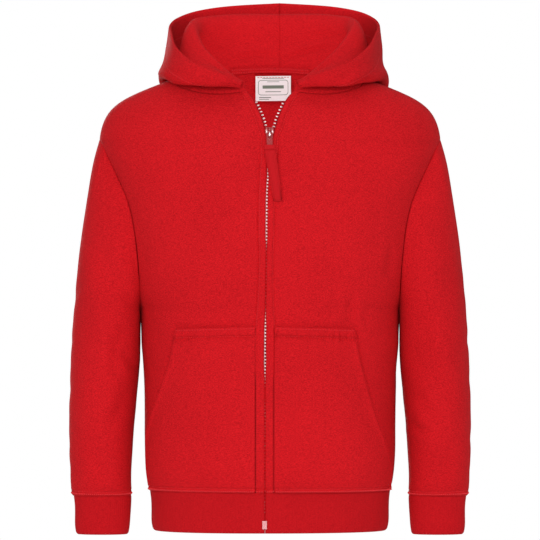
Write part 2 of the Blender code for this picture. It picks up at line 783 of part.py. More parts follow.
def makePuller():
    slider = sliderFrame()
    frame = (pullAxis(slider), *slider[1:])
    pivot = bpy.data.objects.new("pull_axis", None)
    bpy.context.scene.collection.objects.link(pivot)
    pivot.location = tuple(frame[0] * metresPerMm)
    half, low = tabWidth / 2, -tabLength
    outer = [(-half, 0.6), (half, 0.6), (half, -9.0), (half - 0.4, low),
             (0.4 - half, low), (-half, -9.0)]
    inner = [(-1.7, -0.6), (1.7, -0.6), (1.7, -6.2), (1.2, -6.8), (-1.2, -6.8), (-1.7, -6.2)]
    plate, faces = ringPlate(outer, inner, -tabWall / 2, tabWall / 2)
    points = placed(frame, plate)
    makeObject("pull_tab", points, outward(points, faces), paintRed, 0.35, parent=pivot)

    layer, slit = 0.9, tabWall / 2 + 0.3
    mouth, end = 6.0 - tabLength, 6.0 - tabLength - pullLength
    root = low - 0.8
    half = 1.1
    steps = 6
    stops = [root - 4 + (end - root + 4) * i / steps for i in range(steps + 1)]
    fork = [(slit, mouth), (slit, root), (-slit, root), (-slit, mouth), (-slit - layer, mouth),
            (-slit - layer, root)]
    fork += [(-half, v) for v in stops] + [(half, v) for v in reversed(stops)]
    fork += [(slit + layer, root), (slit + layer, mouth)]
    tape, faces = extrudedLoop(fork, -pullWidth / 2, pullWidth / 2, lambda a, b, u: (u, b, a))
    points = []
    for u, v, w in tape:
        below = max(low - v, 0.0)
        width = 1.0 - 0.32 * min(below / pullLength, 1.0) ** 2
        local = (u * width + below * math.sin(pullLean), v + below * (1 - math.cos(pullLean)), w)
        point = placed(frame, [local])[0]
        rest = onChest(point, pullClear + half + w)
        share = min(max((low - 1.0 - v) / 14.0, 0.0), 1.0)
        points.append(point + (rest - point) * share)
    makeObject("pull_tape", points, outward(points, faces), fleeceRed, 0.9, parent=pivot)


def makeZipBox():
    # The box that ends the zip, just in front of the hem band's edges
    across, up, out = zipAxes(boxHeight, 3.0)
    frame = (zipPoint(0.0, boxHeight, -boxLift), across, up, out)
    half, tall = boxWidth / 2, boxLength / 2
    loop = [(-half, -tall), (half, -tall), (half, tall), (-half, tall)]
    solid, faces = extrudedLoop(loop, 0.0, boxWall, lambda a, b, w: (a, b, w))
    points = placed(frame, solid)
    makeObject("zip_box", points, outward(points, faces), zipRed, 0.4)


# Neck trims
labelWidth = 39.6
labelHeight = 28.0
labelCentre = 3.6
labelTop = 12.2


def makeNeckTrims():
    steps = 14
    front, behind = [], []
    for c in range(steps + 1):
        across = -46 + 92 * c / steps
        z = neckHeight(abs(across), True)
        column, rear = [], []
        for rise in (-1.0, 5.5):
            point = bodyPoint(across, min(z, 16.4), True)
            normal = bodyNormal(point, True)
            normal[2] = 0.0
            normal = unit(normal)
            base = point - normal * (hoodWall + layerGap + liningWall + 1.2)
            base[2] = z + rise
            column.append(base)
            rear.append(base - normal * 0.8)
        front.append(column)
        behind.append(rear)
    clothWall("neck_tape", np.array(front), np.array(behind), fleeceRed)

    rows = []
    back = []
    for r in range(5):
        z = labelTop - labelHeight * r / 4
        y = bodyPoint(labelCentre, 14.0, True)[1] - 8.0 - 1.2 * r / 4
        line = [np.array([labelCentre - labelWidth / 2 + labelWidth * c / 4, y, z])
                for c in range(5)]
        rows.append(line)
        back.append([p + np.array([0.0, 0.6, 0.0]) for p in line])
    clothWall("label", np.array(rows), np.array(back), labelWhite, roughness=0.6)


# Hood
hoodShares = [0, 0.04, 0.09, 0.15, 0.22, 0.30, 0.38, 0.46, 0.53, 0.59, 0.65, 0.71, 0.78, 0.85, 0.92, 1.0]
hoodClear = 2.0          # between the hood and the body under it
hoodShift = 11.0         # centre seam of the hood, off the middle of the back


def neckLoop():
    # Neck seam as one line from the right zip end, round the back, to the left zip end
    line = []
    for across, z in zip(frontNeck["across"], frontNeck["height"]):
        line.append(bodyPoint(-across, z) if across < 103.9 else np.array([-104.0, 0.0, 8.0]))
    for across in [98, 92, 84, 74, 62, 50, 36, 22, 8, -8, -22, -36, -50, -62, -74, -84, -92, -98]:
        line.append(bodyPoint(-across, neckHeight(abs(across), True), True))
    for across, z in reversed(list(zip(frontNeck["across"], frontNeck["height"]))):
        line.append(bodyPoint(across, z) if across < 103.9 else np.array([104.0, 0.0, 8.0]))
    return throughPoints(np.array(line), 6)


def splitNeck():
    line = neckLoop()
    middle = max(i for i in range(len(line)) if line[i][1] > 0 and line[i][0] < hoodShift)
    return line[:middle + 1], line[middle:][::-1]


def alongLine(line, share):
    lengths = np.concatenate([[0], np.cumsum(np.linalg.norm(np.diff(line, axis=0), axis=1))])
    at = share * lengths[-1]
    return np.array([np.interp(at, lengths, line[:, i]) for i in range(3)])


def station(share, name):
    return smooth(hoodStations, name, share, key="share")


def guide(share, name, side):
    x = side * station(share, name + "X") + station(share, "lean")
    return np.array([x, station(share, name + "Y"), station(share, name + "Z")])


def guideOut(share, name, side):
    # Level direction out of the neck, square to the guide line
    if share > 0.999:
        return np.array([0.0, 1.0, 0.0])
    a, b = guide(max(share - 0.03, 0), name, side), guide(min(share + 0.03, 1), name, side)
    tangent = unit(np.array([b[0] - a[0], b[1] - a[1], 0.0]))
    out = np.array([tangent[1], -tangent[0], 0.0])
    place = guide(share, name, side)
    centre = np.array([station(share, "lean"), 10.0, 0.0])
    return out if np.dot(out, place - centre) > 0 else -out


def clearOfBody(point, least):
    # The point, moved out until it is at least this far off the body's face
    back = point[1] > 0
    for _ in range(3):
        halfWidth = smooth(bodyForm, "halfWidth", point[2])
        depth = smooth(bodyForm, "back" if back else "front", point[2])
        level = (abs(point[0]) / halfWidth) ** bodyCurve + (abs(point[1]) / depth) ** bodyCurve
        if level > 2.0 or point[2] > 12:
            return point
        step = 0.5
        normal = bodyNormal(point, back)
        ahead = point + normal * step
        halfAhead = smooth(bodyForm, "halfWidth", ahead[2])
        depthAhead = smooth(bodyForm, "back" if back else "front", ahead[2])
        levelAhead = ((abs(ahead[0]) / halfAhead) ** bodyCurve
                      + (abs(ahead[1]) / depthAhead) ** bodyCurve)
        away = (level - 1.0) / max((levelAhead - level) / step, 1e-6)
        if away >= least:
            return point
        point = point + normal * (least - away)
    return point


def hoodSection(share, side, neckLine):
    up = np.array([0.0, 0.0, 1.0])
    seam = alongLine(neckLine, share)
    crest, fold, rim = (guide(share, name, side) for name in ("crest", "fold", "rim"))
    crestOut, foldOut = guideOut(share, "crest", side), guideOut(share, "fold", side)
    crestRound, foldRound = station(share, "crestRound"), station(share, "foldRound")
    total = hoodWall + layerGap + liningWall
    base = seam - crestOut * total / 2 + up * 0.5
    crestIn = crest - (crestOut + up) * crestRound
    crestAway = crest + (crestOut - up) * crestRound
    foldIn = fold + (up - foldOut) * foldRound
    foldAway = fold + (up + foldOut) * foldRound
    bulge = station(share, "bulge")
    stand = (base + crestIn) / 2 + crestOut * 1.5 * (1 - math.exp(-share * 8))
    fall = (crestAway + foldIn) / 2
    side1 = foldAway + (rim - foldAway) * 0.35 + foldOut * bulge
    side2 = foldAway + (rim - foldAway) * 0.7 + foldOut * bulge * 0.8
    chain = [base, stand, crestIn, crest, crestAway, fall, foldIn, fold, foldAway, side1, side2, rim]
    chain = chain[:4] + [clearOfBody(point, total / 2 + hoodClear) for point in chain[4:]]
    section = throughPoints(np.array(chain), 2)
    for i in range(9, len(section)):
        section[i] = clearOfBody(section[i], total / 2 + hoodClear)
    return section


def hoodGrids(side):
    lines = splitNeck()
    neckLine = lines[0] if side < 0 else lines[1]
    middle = np.array([hoodSection(share, side, neckLine) for share in hoodShares])
    around = np.gradient(middle, axis=0)
    along = np.gradient(middle, axis=1)
    normals = np.cross(around, along)
    normals /= np.linalg.norm(normals, axis=2, keepdims=True)
    probe = normals[7, -3]
    if np.dot(probe, guideOut(hoodShares[7], "fold", side)) < 0:
        normals = -normals
    normals[-1, :, 0] = 0.0
    normals /= np.linalg.norm(normals, axis=2, keepdims=True)
    middle[-1, :, 0] = hoodShift + side * seamGap / 2
    return middle, normals


def makeHood():
    total = hoodWall + layerGap + liningWall
    for name, side in (("left", 1), ("right", -1)):
        middle, normals = hoodGrids(side)
        outerFace = middle + normals * total / 2
        outerBack = outerFace - normals * hoodWall
        liningFace = middle - normals * total / 2
        liningBack = liningFace + normals * liningWall
        clothWall("hood_" + name, outerFace, outerBack, fleeceRed)
        clothWall("hood_lining_" + name, liningBack, liningFace, liningRed)


def main():
    for obj in list(bpy.data.objects):
        bpy.data.objects.remove(obj)
    makeFronts()
    makeBack()
    makeSleeves()
    makeHem()
    makePockets()
    makeZipTapes()
    makeTeeth()
    makeSlider()
    makePuller()
    makeZipBox()
    makeNeckTrims()
    makeHood()


main()
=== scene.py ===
# Looks of a kids zip hoodie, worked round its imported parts. Front towards -Y, +Z up.
# Sizes are millimetres; makePiece turns them into metres.
import math
import bpy
import mathutils
import numpy as np
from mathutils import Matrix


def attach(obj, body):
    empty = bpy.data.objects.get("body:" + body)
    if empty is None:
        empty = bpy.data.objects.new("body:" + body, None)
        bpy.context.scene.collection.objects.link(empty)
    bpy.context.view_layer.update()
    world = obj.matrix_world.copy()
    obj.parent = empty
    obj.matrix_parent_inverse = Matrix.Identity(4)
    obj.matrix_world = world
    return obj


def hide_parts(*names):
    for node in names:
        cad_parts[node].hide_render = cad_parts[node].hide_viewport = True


metresPerMm = 0.001
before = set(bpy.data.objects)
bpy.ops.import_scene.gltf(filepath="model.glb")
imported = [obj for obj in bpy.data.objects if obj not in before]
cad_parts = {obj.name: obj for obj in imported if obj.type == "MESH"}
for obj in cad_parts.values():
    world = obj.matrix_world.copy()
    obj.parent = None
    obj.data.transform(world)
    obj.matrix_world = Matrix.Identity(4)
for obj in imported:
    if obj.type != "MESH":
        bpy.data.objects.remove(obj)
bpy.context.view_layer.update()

# Cloth walls and the gaps between pieces; at the seams they press together
cloth = {"fleece": 2.0, "rib": 2.6, "hood": 1.6, "lining": 1.4, "seamGap": -0.2, "layerGap": 0.3}
bodyCurve = 2.4          # exponent of the body's rounded cross sections
sleeveCurve = 2.1

hemSeamHeight = -449.0
hemBottomHeight = -493.5
cuffSeamHeight = -455.3
cuffBottomHeight = -498.0
shoulderTipHeight = -60.0
underarmHeight = -250.0
zipTopHeight = -8.0
zipOpenHalf = 27.0
neckSideAcross = 104.0
neckSideHeight = 8.0
hoodThick = cloth["hood"] + cloth["layerGap"] + cloth["lining"]
sideNames = {1: "left", -1: "right"}      # the wearer's


def table(names, rows):
    # Columns of numbers by name
    return {name: np.array([row[i] for row in rows], float) for i, name in enumerate(names)}


# Half width and depths of the body from the hem up to the neck
bodyForm = table(("height", "halfWidth", "front", "back"), [
    (hemBottomHeight, 129.3, 89, 84), (-487, 130.9, 89.5, 84), (-460, 131.8, 90, 84.5),
    (-449, 133.2, 93, 87), (-438, 136.0, 99, 90), (-425, 137.8, 102, 92), (-400, 139.2, 103, 92),
    (-340, 139.4, 103, 91.5), (-312, 140.4, 103.5, 91.5), (-290, 142.3, 104, 92),
    (-250, 143.2, 105, 92.5), (-237, 147.3, 105.5, 93), (-210, 154.0, 106.5, 94),
    (-181, 159.5, 107, 96), (-155, 162.5, 107, 97), (-135, 165.8, 106, 97), (-117, 170.0, 104.5, 95.5),
    (-100, 175.8, 102, 93), (-84, 182.0, 99, 90.5), (-72, 187.0, 96.3, 89), (-60, 189.0, 93, 87),
    (-45, 186.0, 86, 83.5), (-31.4, 179.3, 78, 79.5), (-19, 166.0, 70, 76), (-11.6, 152.6, 65, 74),
    (-5.5, 139.0, 61.5, 72.5), (-0.4, 126.0, 59.5, 71), (8, 104.0, 58, 69.5), (12, 92.0, 57, 69),
    (16.5, 80.0, 56, 67.5)])

sleeveSides = table(("height", "outer", "inner"), [
    (cuffSeamHeight, 219.6, 153.2), (-438, 220.9, 153.9), (-412, 222.1, 152.8), (-385, 222.8, 151.2),
    (-345, 222.0, 147.8), (-322, 221.4, 145.6), (-300, 220.2, 144.4), (-250, 217.4, 144.6),
    (-205, 213.4, 144.0), (-172, 209.7, 144.0), (-139, 205.0, 144.0), (-112, 200.8, 144.0),
    (-85, 195.9, 144.0), (-72, 193.0, 144.0), (shoulderTipHeight, 189.0, 144.0)])
sleeveDepths = table(("along", "halfDepth", "drift", "ease"), [
    (0.00, 52, 0, 1.00), (0.06, 54, 0, 0.72), (0.14, 56, 0, 0.45), (0.24, 57, 0, 0.22),
    (0.36, 57, -1, 0.06), (0.50, 55.5, -3, 0.0), (0.64, 51.5, -5, 0.0), (0.78, 45.5, -7, 0.0),
    (0.90, 38.5, -8, 0.0), (0.965, 33.5, -8, 0.0), (1.00, 27, -8, 0.0)])
cuffRings = table(("height", "outer", "inner", "halfDepth"), [
    (cuffSeamHeight - cloth["seamGap"], 217.6, 153.6, 25), (-460, 216.8, 153.7, 24),
    (-478, 215.9, 154.6, 23), (-493, 215.4, 156.2, 22.5), (cuffBottomHeight, 214.2, 157.2, 21.5)])

# Armhole seam seen from the front, from the shoulder tip to the underarm
armholeSeam = table(("share", "across", "height"), [
    (0.000, 189.0, shoulderTipHeight), (0.125, 178.5, -82), (0.250, 166.5, -107),
    (0.375, 156.0, -132), (0.500, 150.4, -156), (0.625, 147.0, -181), (0.750, 144.6, -208),
    (0.875, 143.6, -235), (1.000, 143.2, underarmHeight)])
frontNeck = table(("across", "height"), [
    (zipOpenHalf + 1, zipTopHeight), (42, -11), (58, -12), (72, -11),
    (83, -9), (92, -6), (99, -3), (102.6, 3), (neckSideAcross, neckSideHeight)])
backNeck = table(("across", "height"), [
    (0, 16.5), (20, 16), (36, 15), (52, 13.9), (72, 12), (86, 10.4), (98, 9),
    (neckSideAcross, neckSideHeight)])
zipLine = table(("height", "across"), [
    (-500, -5.9), (-300, -5.8), (-250, -5.2), (-190, -4.3), (-134, -4.0), (-100, -2.6), (-66, -0.6),
    (-50, 0.0), (20, 0.0)])
zipOpening = table(("height", "halfGap"), [
    (-500, 0.8), (-332, 0.8), (-312, 1.9), (-262, 1.9), (-246, 0.8), (-184, 0.8), (-170, 1.9),
    (-66, 1.9), (-60, 2.3), (-55, 3.8), (-49, 6.4), (-40, 8.9), (-30, 13.0), (-22, 16.7), (-15, 20.8),
    (zipTopHeight, zipOpenHalf)])

# Hood from the zip end (share 0) to the centre back seam (1): the crest of the stand,
# the fold at the bottom of the hollow and the free rim
hoodStations = table(
    ("share", "crestX", "crestY", "crestZ", "crestRound", "foldX", "foldY", "foldZ", "foldRound",
     "rimX", "rimY", "rimZ", "bulge", "lean"), [
        (0.00, 29.5, -64, 2, 3.0, 33, -70.5, -6.5, 3.0, 31, -75, -1, 0, 0),
        (0.10, 44, -52, 10, 4.2, 57, -75, -4, 3.8, 52, -80, 9, 1, 0),
        (0.20, 61, -37, 25, 5.5, 83, -69, -2, 4.8, 78, -73, 19, 1, 0.5),
        (0.29, 75, -21, 39, 6.5, 103, -52, 0.5, 5.5, 95, -58, 30, 1, 1),
        (0.39, 85, -3, 54, 7.5, 115, -26, 3.5, 6.0, 107, -33, 43, 0, 2.5),
        (0.49, 91, 19, 67.5, 9.0, 120, 5, 4.5, 6.5, 113, 6, 57, -1, 4),
        (0.60, 88, 44, 74.5, 10, 120, 40, -4, 7.0, 116.5, 50, 69.5, -1, 5),
        (0.74, 68, 67, 79, 11, 99, 79, -48, 8.0, 103.5, 96, 83, 3, 7),
        (0.87, 38, 80, 81.5, 11, 57, 100, -92, 8.5, 58, 126, 94, 9, 9.5),
        (1.00, 0, 85, 81.5, 11, 0, 107, -106, 8.5, 0, 136, 98, 12, 11),
    ])
hoodClear = 2.0          # between the hood and the body under it
hoodShift = 11.0         # centre seam of the hood, off the middle of the back


# Curves and tables
def unit(v):
    # One vector or an array of them, each made one long
    return v / np.maximum(np.linalg.norm(v, axis=-1, keepdims=True), 1e-9)


def slopesOf(x, y):
    # Slopes at the rows, level at every crest and hollow
    steps = np.diff(x)
    rises = np.diff(y) / steps
    slope = np.zeros(len(x))
    slope[0], slope[-1] = rises[0], rises[-1]
    for i in range(1, len(x) - 1):
        if rises[i - 1] * rises[i] > 0:
            before = 2 * steps[i] + steps[i - 1]
            after = steps[i] + 2 * steps[i - 1]
            slope[i] = (before + after) / (before / rises[i - 1] + after / rises[i])
    return slope


slopeStore = {}          # slopes worked out once for each column


def smooth(rows, column, at, key="height"):
    # Value of a column at one key or at many, on a curve that never overshoots its rows
    x, y = rows[key], rows[column]
    mark = (id(rows), column)
    if mark not in slopeStore:
        slopeStore[mark] = slopesOf(x, y)
    slope = slopeStore[mark]
    at = np.minimum(np.maximum(at, x[0]), x[-1])
    i = np.clip(np.searchsorted(x, at, side="right") - 1, 0, len(x) - 2)
    step = x[i + 1] - x[i]
    t = (at - x[i]) / step
    return ((2 * t**3 - 3 * t**2 + 1) * y[i] + (t**3 - 2 * t**2 + t) * step * slope[i]
            + (3 * t**2 - 2 * t**3) * y[i + 1] + (t**3 - t**2) * step * slope[i + 1])


def throughPoints(points, perSpan):
    # Centripetal Catmull-Rom curve with perSpan steps between neighbours
    pts = np.array([2 * points[0] - points[1], *points, 2 * points[-1] - points[-2]])
    spans = np.maximum(np.linalg.norm(np.diff(pts, axis=0), axis=1), 1e-6) ** 0.5
    knots = np.concatenate([[0], np.cumsum(spans)])

    def between(low, high, first, last, k):
        return ((knots[last] - k) * low + (k - knots[first]) * high) / (knots[last] - knots[first])
    result = []
    for i in range(1, len(pts) - 2):
        for k in np.linspace(knots[i], knots[i + 1], perSpan, endpoint=False):
            a, b, c = (between(pts[j], pts[j + 1], j, j + 1, k) for j in (i - 1, i, i + 1))
            result.append(between(between(a, b, i - 1, i + 1, k), between(b, c, i, i + 2, k), i, i + 1, k))
    return np.array([*result, points[-1]])


def splineWeights(knots, at):
    # Weights that turn values at the knots into values of a natural cubic spline
    n = len(knots)
    steps = np.diff(knots)
    left, right = np.zeros((n, n)), np.zeros((n, n))
    left[0, 0] = left[-1, -1] = 1
    for i in range(1, n - 1):
        left[i, i - 1:i + 2] = steps[i - 1], 2 * (steps[i - 1] + steps[i]), steps[i]
        right[i, i - 1:i + 2] = 6 / steps[i - 1], -6 / steps[i - 1] - 6 / steps[i], 6 / steps[i]
    bend = np.linalg.solve(left, right)
    i = np.clip(np.searchsorted(knots, at, side="right") - 1, 0, n - 2)
    a = ((knots[i + 1] - at) / steps[i])[:, None]
    b = 1 - a
    eye = np.eye(n)
    return (a * eye[i] + b * eye[i + 1]
            + ((a**3 - a) * bend[i] + (b**3 - b) * bend[i + 1]) * (steps[i] ** 2 / 6)[:, None])


def smoothStep(value, low, high):
    t = np.clip((value - low) / (high - low), 0, 1)
    return t * t * (3 - 2 * t)


def bell(distance, width):
    return np.exp(-(distance / width) ** 2)


def blunt(value, power=0.6):
    return math.copysign(abs(value) ** power, value)


# Form of the body
def bodySize(height, back):
    return smooth(bodyForm, "halfWidth", height), smooth(bodyForm, "back" if back else "front", height)


def bodyLevel(point, back):
    # 1 on the body's face, more outside it
    halfWidth, depth = bodySize(point[2], back)
    return (abs(point[0]) / halfWidth) ** bodyCurve + (abs(point[1]) / depth) ** bodyCurve


def bodyPoint(across, height, back=False):
    halfWidth, depth = bodySize(height, back)
    share = min(abs(across) / halfWidth, 1.0)
    y = depth * (1 - share**bodyCurve) ** (1 / bodyCurve)
    return np.array([across, y if back else -y, height])


def bodyAngle(across, height):
    share = min(abs(across) / smooth(bodyForm, "halfWidth", height), 1.0)
    return math.asin(share ** (bodyCurve / 2))


def atAngle(angle, height, side, back=False):
    halfWidth, depth = bodySize(height, back)
    x = side * halfWidth * math.sin(abs(angle)) ** (2 / bodyCurve)
    y = (1 if back else -1) * depth * max(math.cos(angle), 0.0) ** (2 / bodyCurve)
    return np.array([x, y, height])


levelStep = 0.5


def bodyNormal(point, back=False):
    steps = levelStep * np.eye(3)
    slope = [bodyLevel(point + step, back) - bodyLevel(point - step, back) for step in steps]
    if abs(point[1]) < 0.6:
        slope[1] = 0.0
    return unit(np.array(slope))


loopSteps = 24
sideHeights = [hemSeamHeight, -440, -426, -385, -350, -328, -312, -290, -270]
shoulderHeights = [-51, -41, -30, -18, -6, neckSideHeight]


def armholePoint(step, side, back):
    share = step / loopSteps
    across = smooth(armholeSeam, "across", share, key="share")
    height = smooth(armholeSeam, "height", share, key="share")
    if step in (0, loopSteps):
        return np.array([side * across, 0.0, height])
    return bodyPoint(side * across, height, back)


def armholeAway(side):
    chord = unit(armholePoint(loopSteps, side, False) - armholePoint(0, side, False))
    return np.array([side * abs(chord[2]), 0.0, -abs(chord[0])])


def zipCentre(height):
    return smooth(zipLine, "across", height)


def edgeAcross(height):
    return smooth(zipOpening, "halfGap", height)


def outerEdge(side, back):
    # Side seam, armhole and shoulder seam of one panel
    gap = cloth["seamGap"] / 2
    shift = gap if back else -gap

    def seam(heights):
        return [np.array([side * smooth(bodyForm, "halfWidth", z), shift, z]) for z in heights]
    armhole = [armholePoint(step, side, back) - armholeAway(side) * gap
               for step in range(loopSteps, -1, -1)]
    armhole[0][1] = armhole[-1][1] = shift
    return seam(sideHeights) + armhole + seam(shoulderHeights)


def neckHeight(across, back):
    return smooth(backNeck if back else frontNeck, "height", across, key="across")


def towardsNeck(s, back, innerAcross, centreTop):
    # How far up and round a straight top row moves to follow the neck, at a share s of its length
    neckAcross = innerAcross + (neckSideAcross - innerAcross) * math.sin(s * math.pi / 2) ** 0.9
    neckZ = neckHeight(neckAcross, back)
    neckAngle = bodyAngle(neckAcross, neckZ) if s < 1 else math.pi / 2
    flatAngle = bodyAngle(innerAcross, centreTop)
    flatAngle += (math.pi / 2 - flatAngle) * s
    return neckZ - (centreTop + (neckSideHeight - centreTop) * s), neckAngle - flatAngle


def panelGrid(side, back, columns):
    # One half of the body: column 0 is the centre, the last is the outer edge
    edge = outerEdge(side, back)
    firstShoulder = len(edge) - len(shoulderHeights)
    grid = np.zeros((len(edge), columns, 3))
    centreTop = backNeck["height"][0] if back else zipTopHeight
    innerAcross = 0.0 if back else edgeAcross(zipTopHeight)
    for r, outerPoint in enumerate(edge):
        rise = max(0.0, (outerPoint[2] - shoulderTipHeight) / (neckSideHeight - shoulderTipHeight))
        topShare = max(0.0, (r - firstShoulder + 1) / len(shoulderHeights)) ** 1.5
        centreHeight = outerPoint[2]
        if rise > 0:
            centreHeight = shoulderTipHeight + rise * (centreTop - shoulderTipHeight)
        onArmhole = len(sideHeights) <= r < firstShoulder
        angleOuter = bodyAngle(outerPoint[0], outerPoint[2]) if onArmhole else math.pi / 2
        centreX = 0.0 if back else edgeAcross(centreHeight)
        zipShift = 0.0 if back else zipCentre(centreHeight)
        angleCentre = bodyAngle(centreX, centreHeight)
        for c in range(columns):
            s = c / (columns - 1)
            height = centreHeight + (outerPoint[2] - centreHeight) * s
            angle = angleCentre + (angleOuter - angleCentre) * s
            if topShare > 0:
                higher, further = towardsNeck(s, back, innerAcross, centreTop)
                height += topShare * higher
                angle += topShare * further
            point = atAngle(angle, height, side, back)
            if c == columns - 1:
                point = outerPoint
            else:
                point = bodyPoint(point[0] + zipShift * (1 - s) ** 2, point[2], back)
                point[1] += cloth["seamGap"] / 2 * (1 if back else -1)
            grid[r, c] = point
    grid[0, :, 2] = grid[0, 0, 2] + cloth["seamGap"] / 2
    return grid


def ringPoint(centre, armAcross, halfDepth, turn):
    # turn 0 is the outer side, then round by the front to the inner side
    across, depth = (blunt(value, 2 / sleeveCurve) for value in (math.cos(turn), math.sin(turn)))
    return centre + armAcross * across + np.array([0.0, -halfDepth * depth, 0.0])


def sleeveGrid(side):
    # Rings from the armhole seam down to the cuff; they ease from the seam's form into ovals
    count = 2 * loopSteps
    seam = []
    for j in range(count):
        back = j > loopSteps
        step = j if j <= loopSteps else count - j
        seam.append(armholePoint(step, side, back) + armholeAway(side) * cloth["seamGap"] / 2)
    rings = []
    for row, along in enumerate(sleeveDepths["along"]):
        outerHeight = shoulderTipHeight + along * (cuffSeamHeight - shoulderTipHeight)
        innerHeight = underarmHeight + along * (cuffSeamHeight - underarmHeight)
        drift = sleeveDepths["drift"][row]
        outer = np.array([side * smooth(sleeveSides, "outer", outerHeight), drift, outerHeight])
        inner = np.array([side * smooth(sleeveSides, "inner", innerHeight), drift, innerHeight])
        centre, arm = (outer + inner) / 2, (outer - inner) / 2
        depth = sleeveDepths["halfDepth"][row]
        ring = np.array([ringPoint(centre, arm, depth, 2 * math.pi * j / count)
                         for j in range(count)])
        if row == 0:
            toSeam = np.array(seam) - ring
        rings.append(ring + toSeam * sleeveDepths["ease"][row])
    return np.array(rings)


def cuffGrid(side):
    rings = []
    for row, height in enumerate(cuffRings["height"]):
        outerX, innerX = cuffRings["outer"][row], cuffRings["inner"][row]
        centre = np.array([side * (outerX + innerX) / 2, sleeveDepths["drift"][-1], height])
        arm = np.array([side * (outerX - innerX) / 2, 0.0, 0.0])
        rings.append([ringPoint(centre, arm, cuffRings["halfDepth"][row], math.pi * j / loopSteps)
                      for j in range(2 * loopSteps)])
    return np.array(rings)


def hemGrid(heights, steps):
    # Rows round the body from one side of the zip to the other
    grid = np.zeros((len(heights), steps + 1, 3))
    for r, height in enumerate(heights):
        start = bodyAngle(edgeAcross(height), height)
        for c in range(steps + 1):
            turn = start + (2 * math.pi - 2 * start) * c / steps
            side = 1 if turn <= math.pi else -1
            back = math.pi / 2 < turn < 1.5 * math.pi
            point = atAngle(math.asin(min(abs(math.sin(turn)), 1.0)), height, side, back)
            point[0] += zipCentre(height) * max(0.0, math.cos(turn)) ** 4
            grid[r, c] = point
    return grid


pocketForm = {"top": -268.5, "topRise": 2.6, "innerGap": 10.5, "wall": 1.8, "gap": 0.7}
pocketHeights = [-448.6, -440, -426, -410, -390, -370, -350, -326, -298, pocketForm["top"]]
# Outer edges of the pockets: sewn in low at the side, then the slanted hand opening
pocketEdges = {
    1: table(("height", "across"), [
        (hemSeamHeight, 131.6), (-424, 132.6), (-408, 129.4), (-395, 124.9), (-381, 119.2),
        (-354, 110.4), (-328, 103.2), (-302, 96.8), (-282, 92.8), (pocketForm["top"], 91.6)]),
    -1: table(("height", "across"), [
        (hemSeamHeight, 131.6), (-425, 134.8), (-400, 135.6), (-384, 133.4), (-368, 129.4),
        (-348, 122.5), (-322, 113.7), (-295, 106.2), (pocketForm["top"], 102.3)])}


def pocketGrid(side, columns):
    rows = []
    for height in pocketHeights:
        low = bodyAngle(side * zipCentre(height) + pocketForm["innerGap"], height)
        high = bodyAngle(smooth(pocketEdges[side], "across", height), height)
        upward = (height - pocketHeights[0]) / (pocketForm["top"] - pocketHeights[0])
        row = []
        for c in range(columns + 1):
            rise = pocketForm["topRise"] * upward**3 * (0.5 - c / columns)
            row.append(atAngle(low + (high - low) * c / columns, height + rise, side))
        rows.append(row)
    grid = np.array(rows)
    lift = pocketForm["gap"] + pocketForm["wall"]
    normals = np.array([[bodyNormal(p) for p in row] for row in grid])
    return grid + normals * lift


# Form of the hood
def neckLoop():
    # Neck seam from the right zip end, round the back, to the left zip end
    def front(side):
        places = list(zip(frontNeck["across"], frontNeck["height"]))[:-1]
        line = [bodyPoint(side * across, z) for across, z in places]
        return line + [np.array([side * neckSideAcross, 0.0, neckSideHeight])]
    half = (98, 92, 84, 74, 62, 50, 36, 22, 8)
    back = [bodyPoint(-across, neckHeight(abs(across), True), True)
            for across in (*half, *(-across for across in reversed(half)))]
    return throughPoints(np.array(front(-1) + back + front(1)[::-1]), 6)


def splitNeck():
    # The neck seam of each hood half, from the zip end to the hood's centre seam
    line = neckLoop()
    middle = max(i for i in range(len(line)) if line[i][1] > 0 and line[i][0] < hoodShift)
    return line[:middle + 1], line[middle:][::-1]


def lengthsAlong(line):
    return np.concatenate([[0], np.cumsum(np.linalg.norm(np.diff(line, axis=0), axis=1))])


def alongLine(line, at, values=None):
    # Points of a line, or the values that go with them, at distances from its start
    lengths = lengthsAlong(line)
    values = line if values is None else values
    return np.stack([np.interp(at, lengths, values[:, i]) for i in range(3)], axis=-1)


def station(share, name):
    return smooth(hoodStations, name, share, key="share")


def guide(share, name, side):
    x = side * station(share, name + "X") + station(share, "lean")
    return np.array([x, station(share, name + "Y"), station(share, name + "Z")])


def guideOut(share, name, side):
    # Level direction out of the neck, square to the guide line
    if share > 0.999:
        return np.array([0.0, 1.0, 0.0])
    a, b = guide(max(share - 0.03, 0), name, side), guide(min(share + 0.03, 1), name, side)
    tangent = unit(np.array([b[0] - a[0], b[1] - a[1], 0.0]))
    out = np.array([tangent[1], -tangent[0], 0.0])
    place = guide(share, name, side)
    centre = np.array([station(share, "lean"), 10.0, 0.0])
    return out if np.dot(out, place - centre) > 0 else -out


def clearOfBody(point, least):
    # The point, moved out until it is at least this far off the body's face
    back = point[1] > 0
    for _ in range(3):
        level = bodyLevel(point, back)
        if level > 2.0 or point[2] > 12:
            return point
        normal = bodyNormal(point, back)
        climb = (bodyLevel(point + normal * levelStep, back) - level) / levelStep
        away = (level - 1.0) / max(climb, 1e-6)
        if away >= least:
            return point
        point = point + normal * (least - away)
    return point


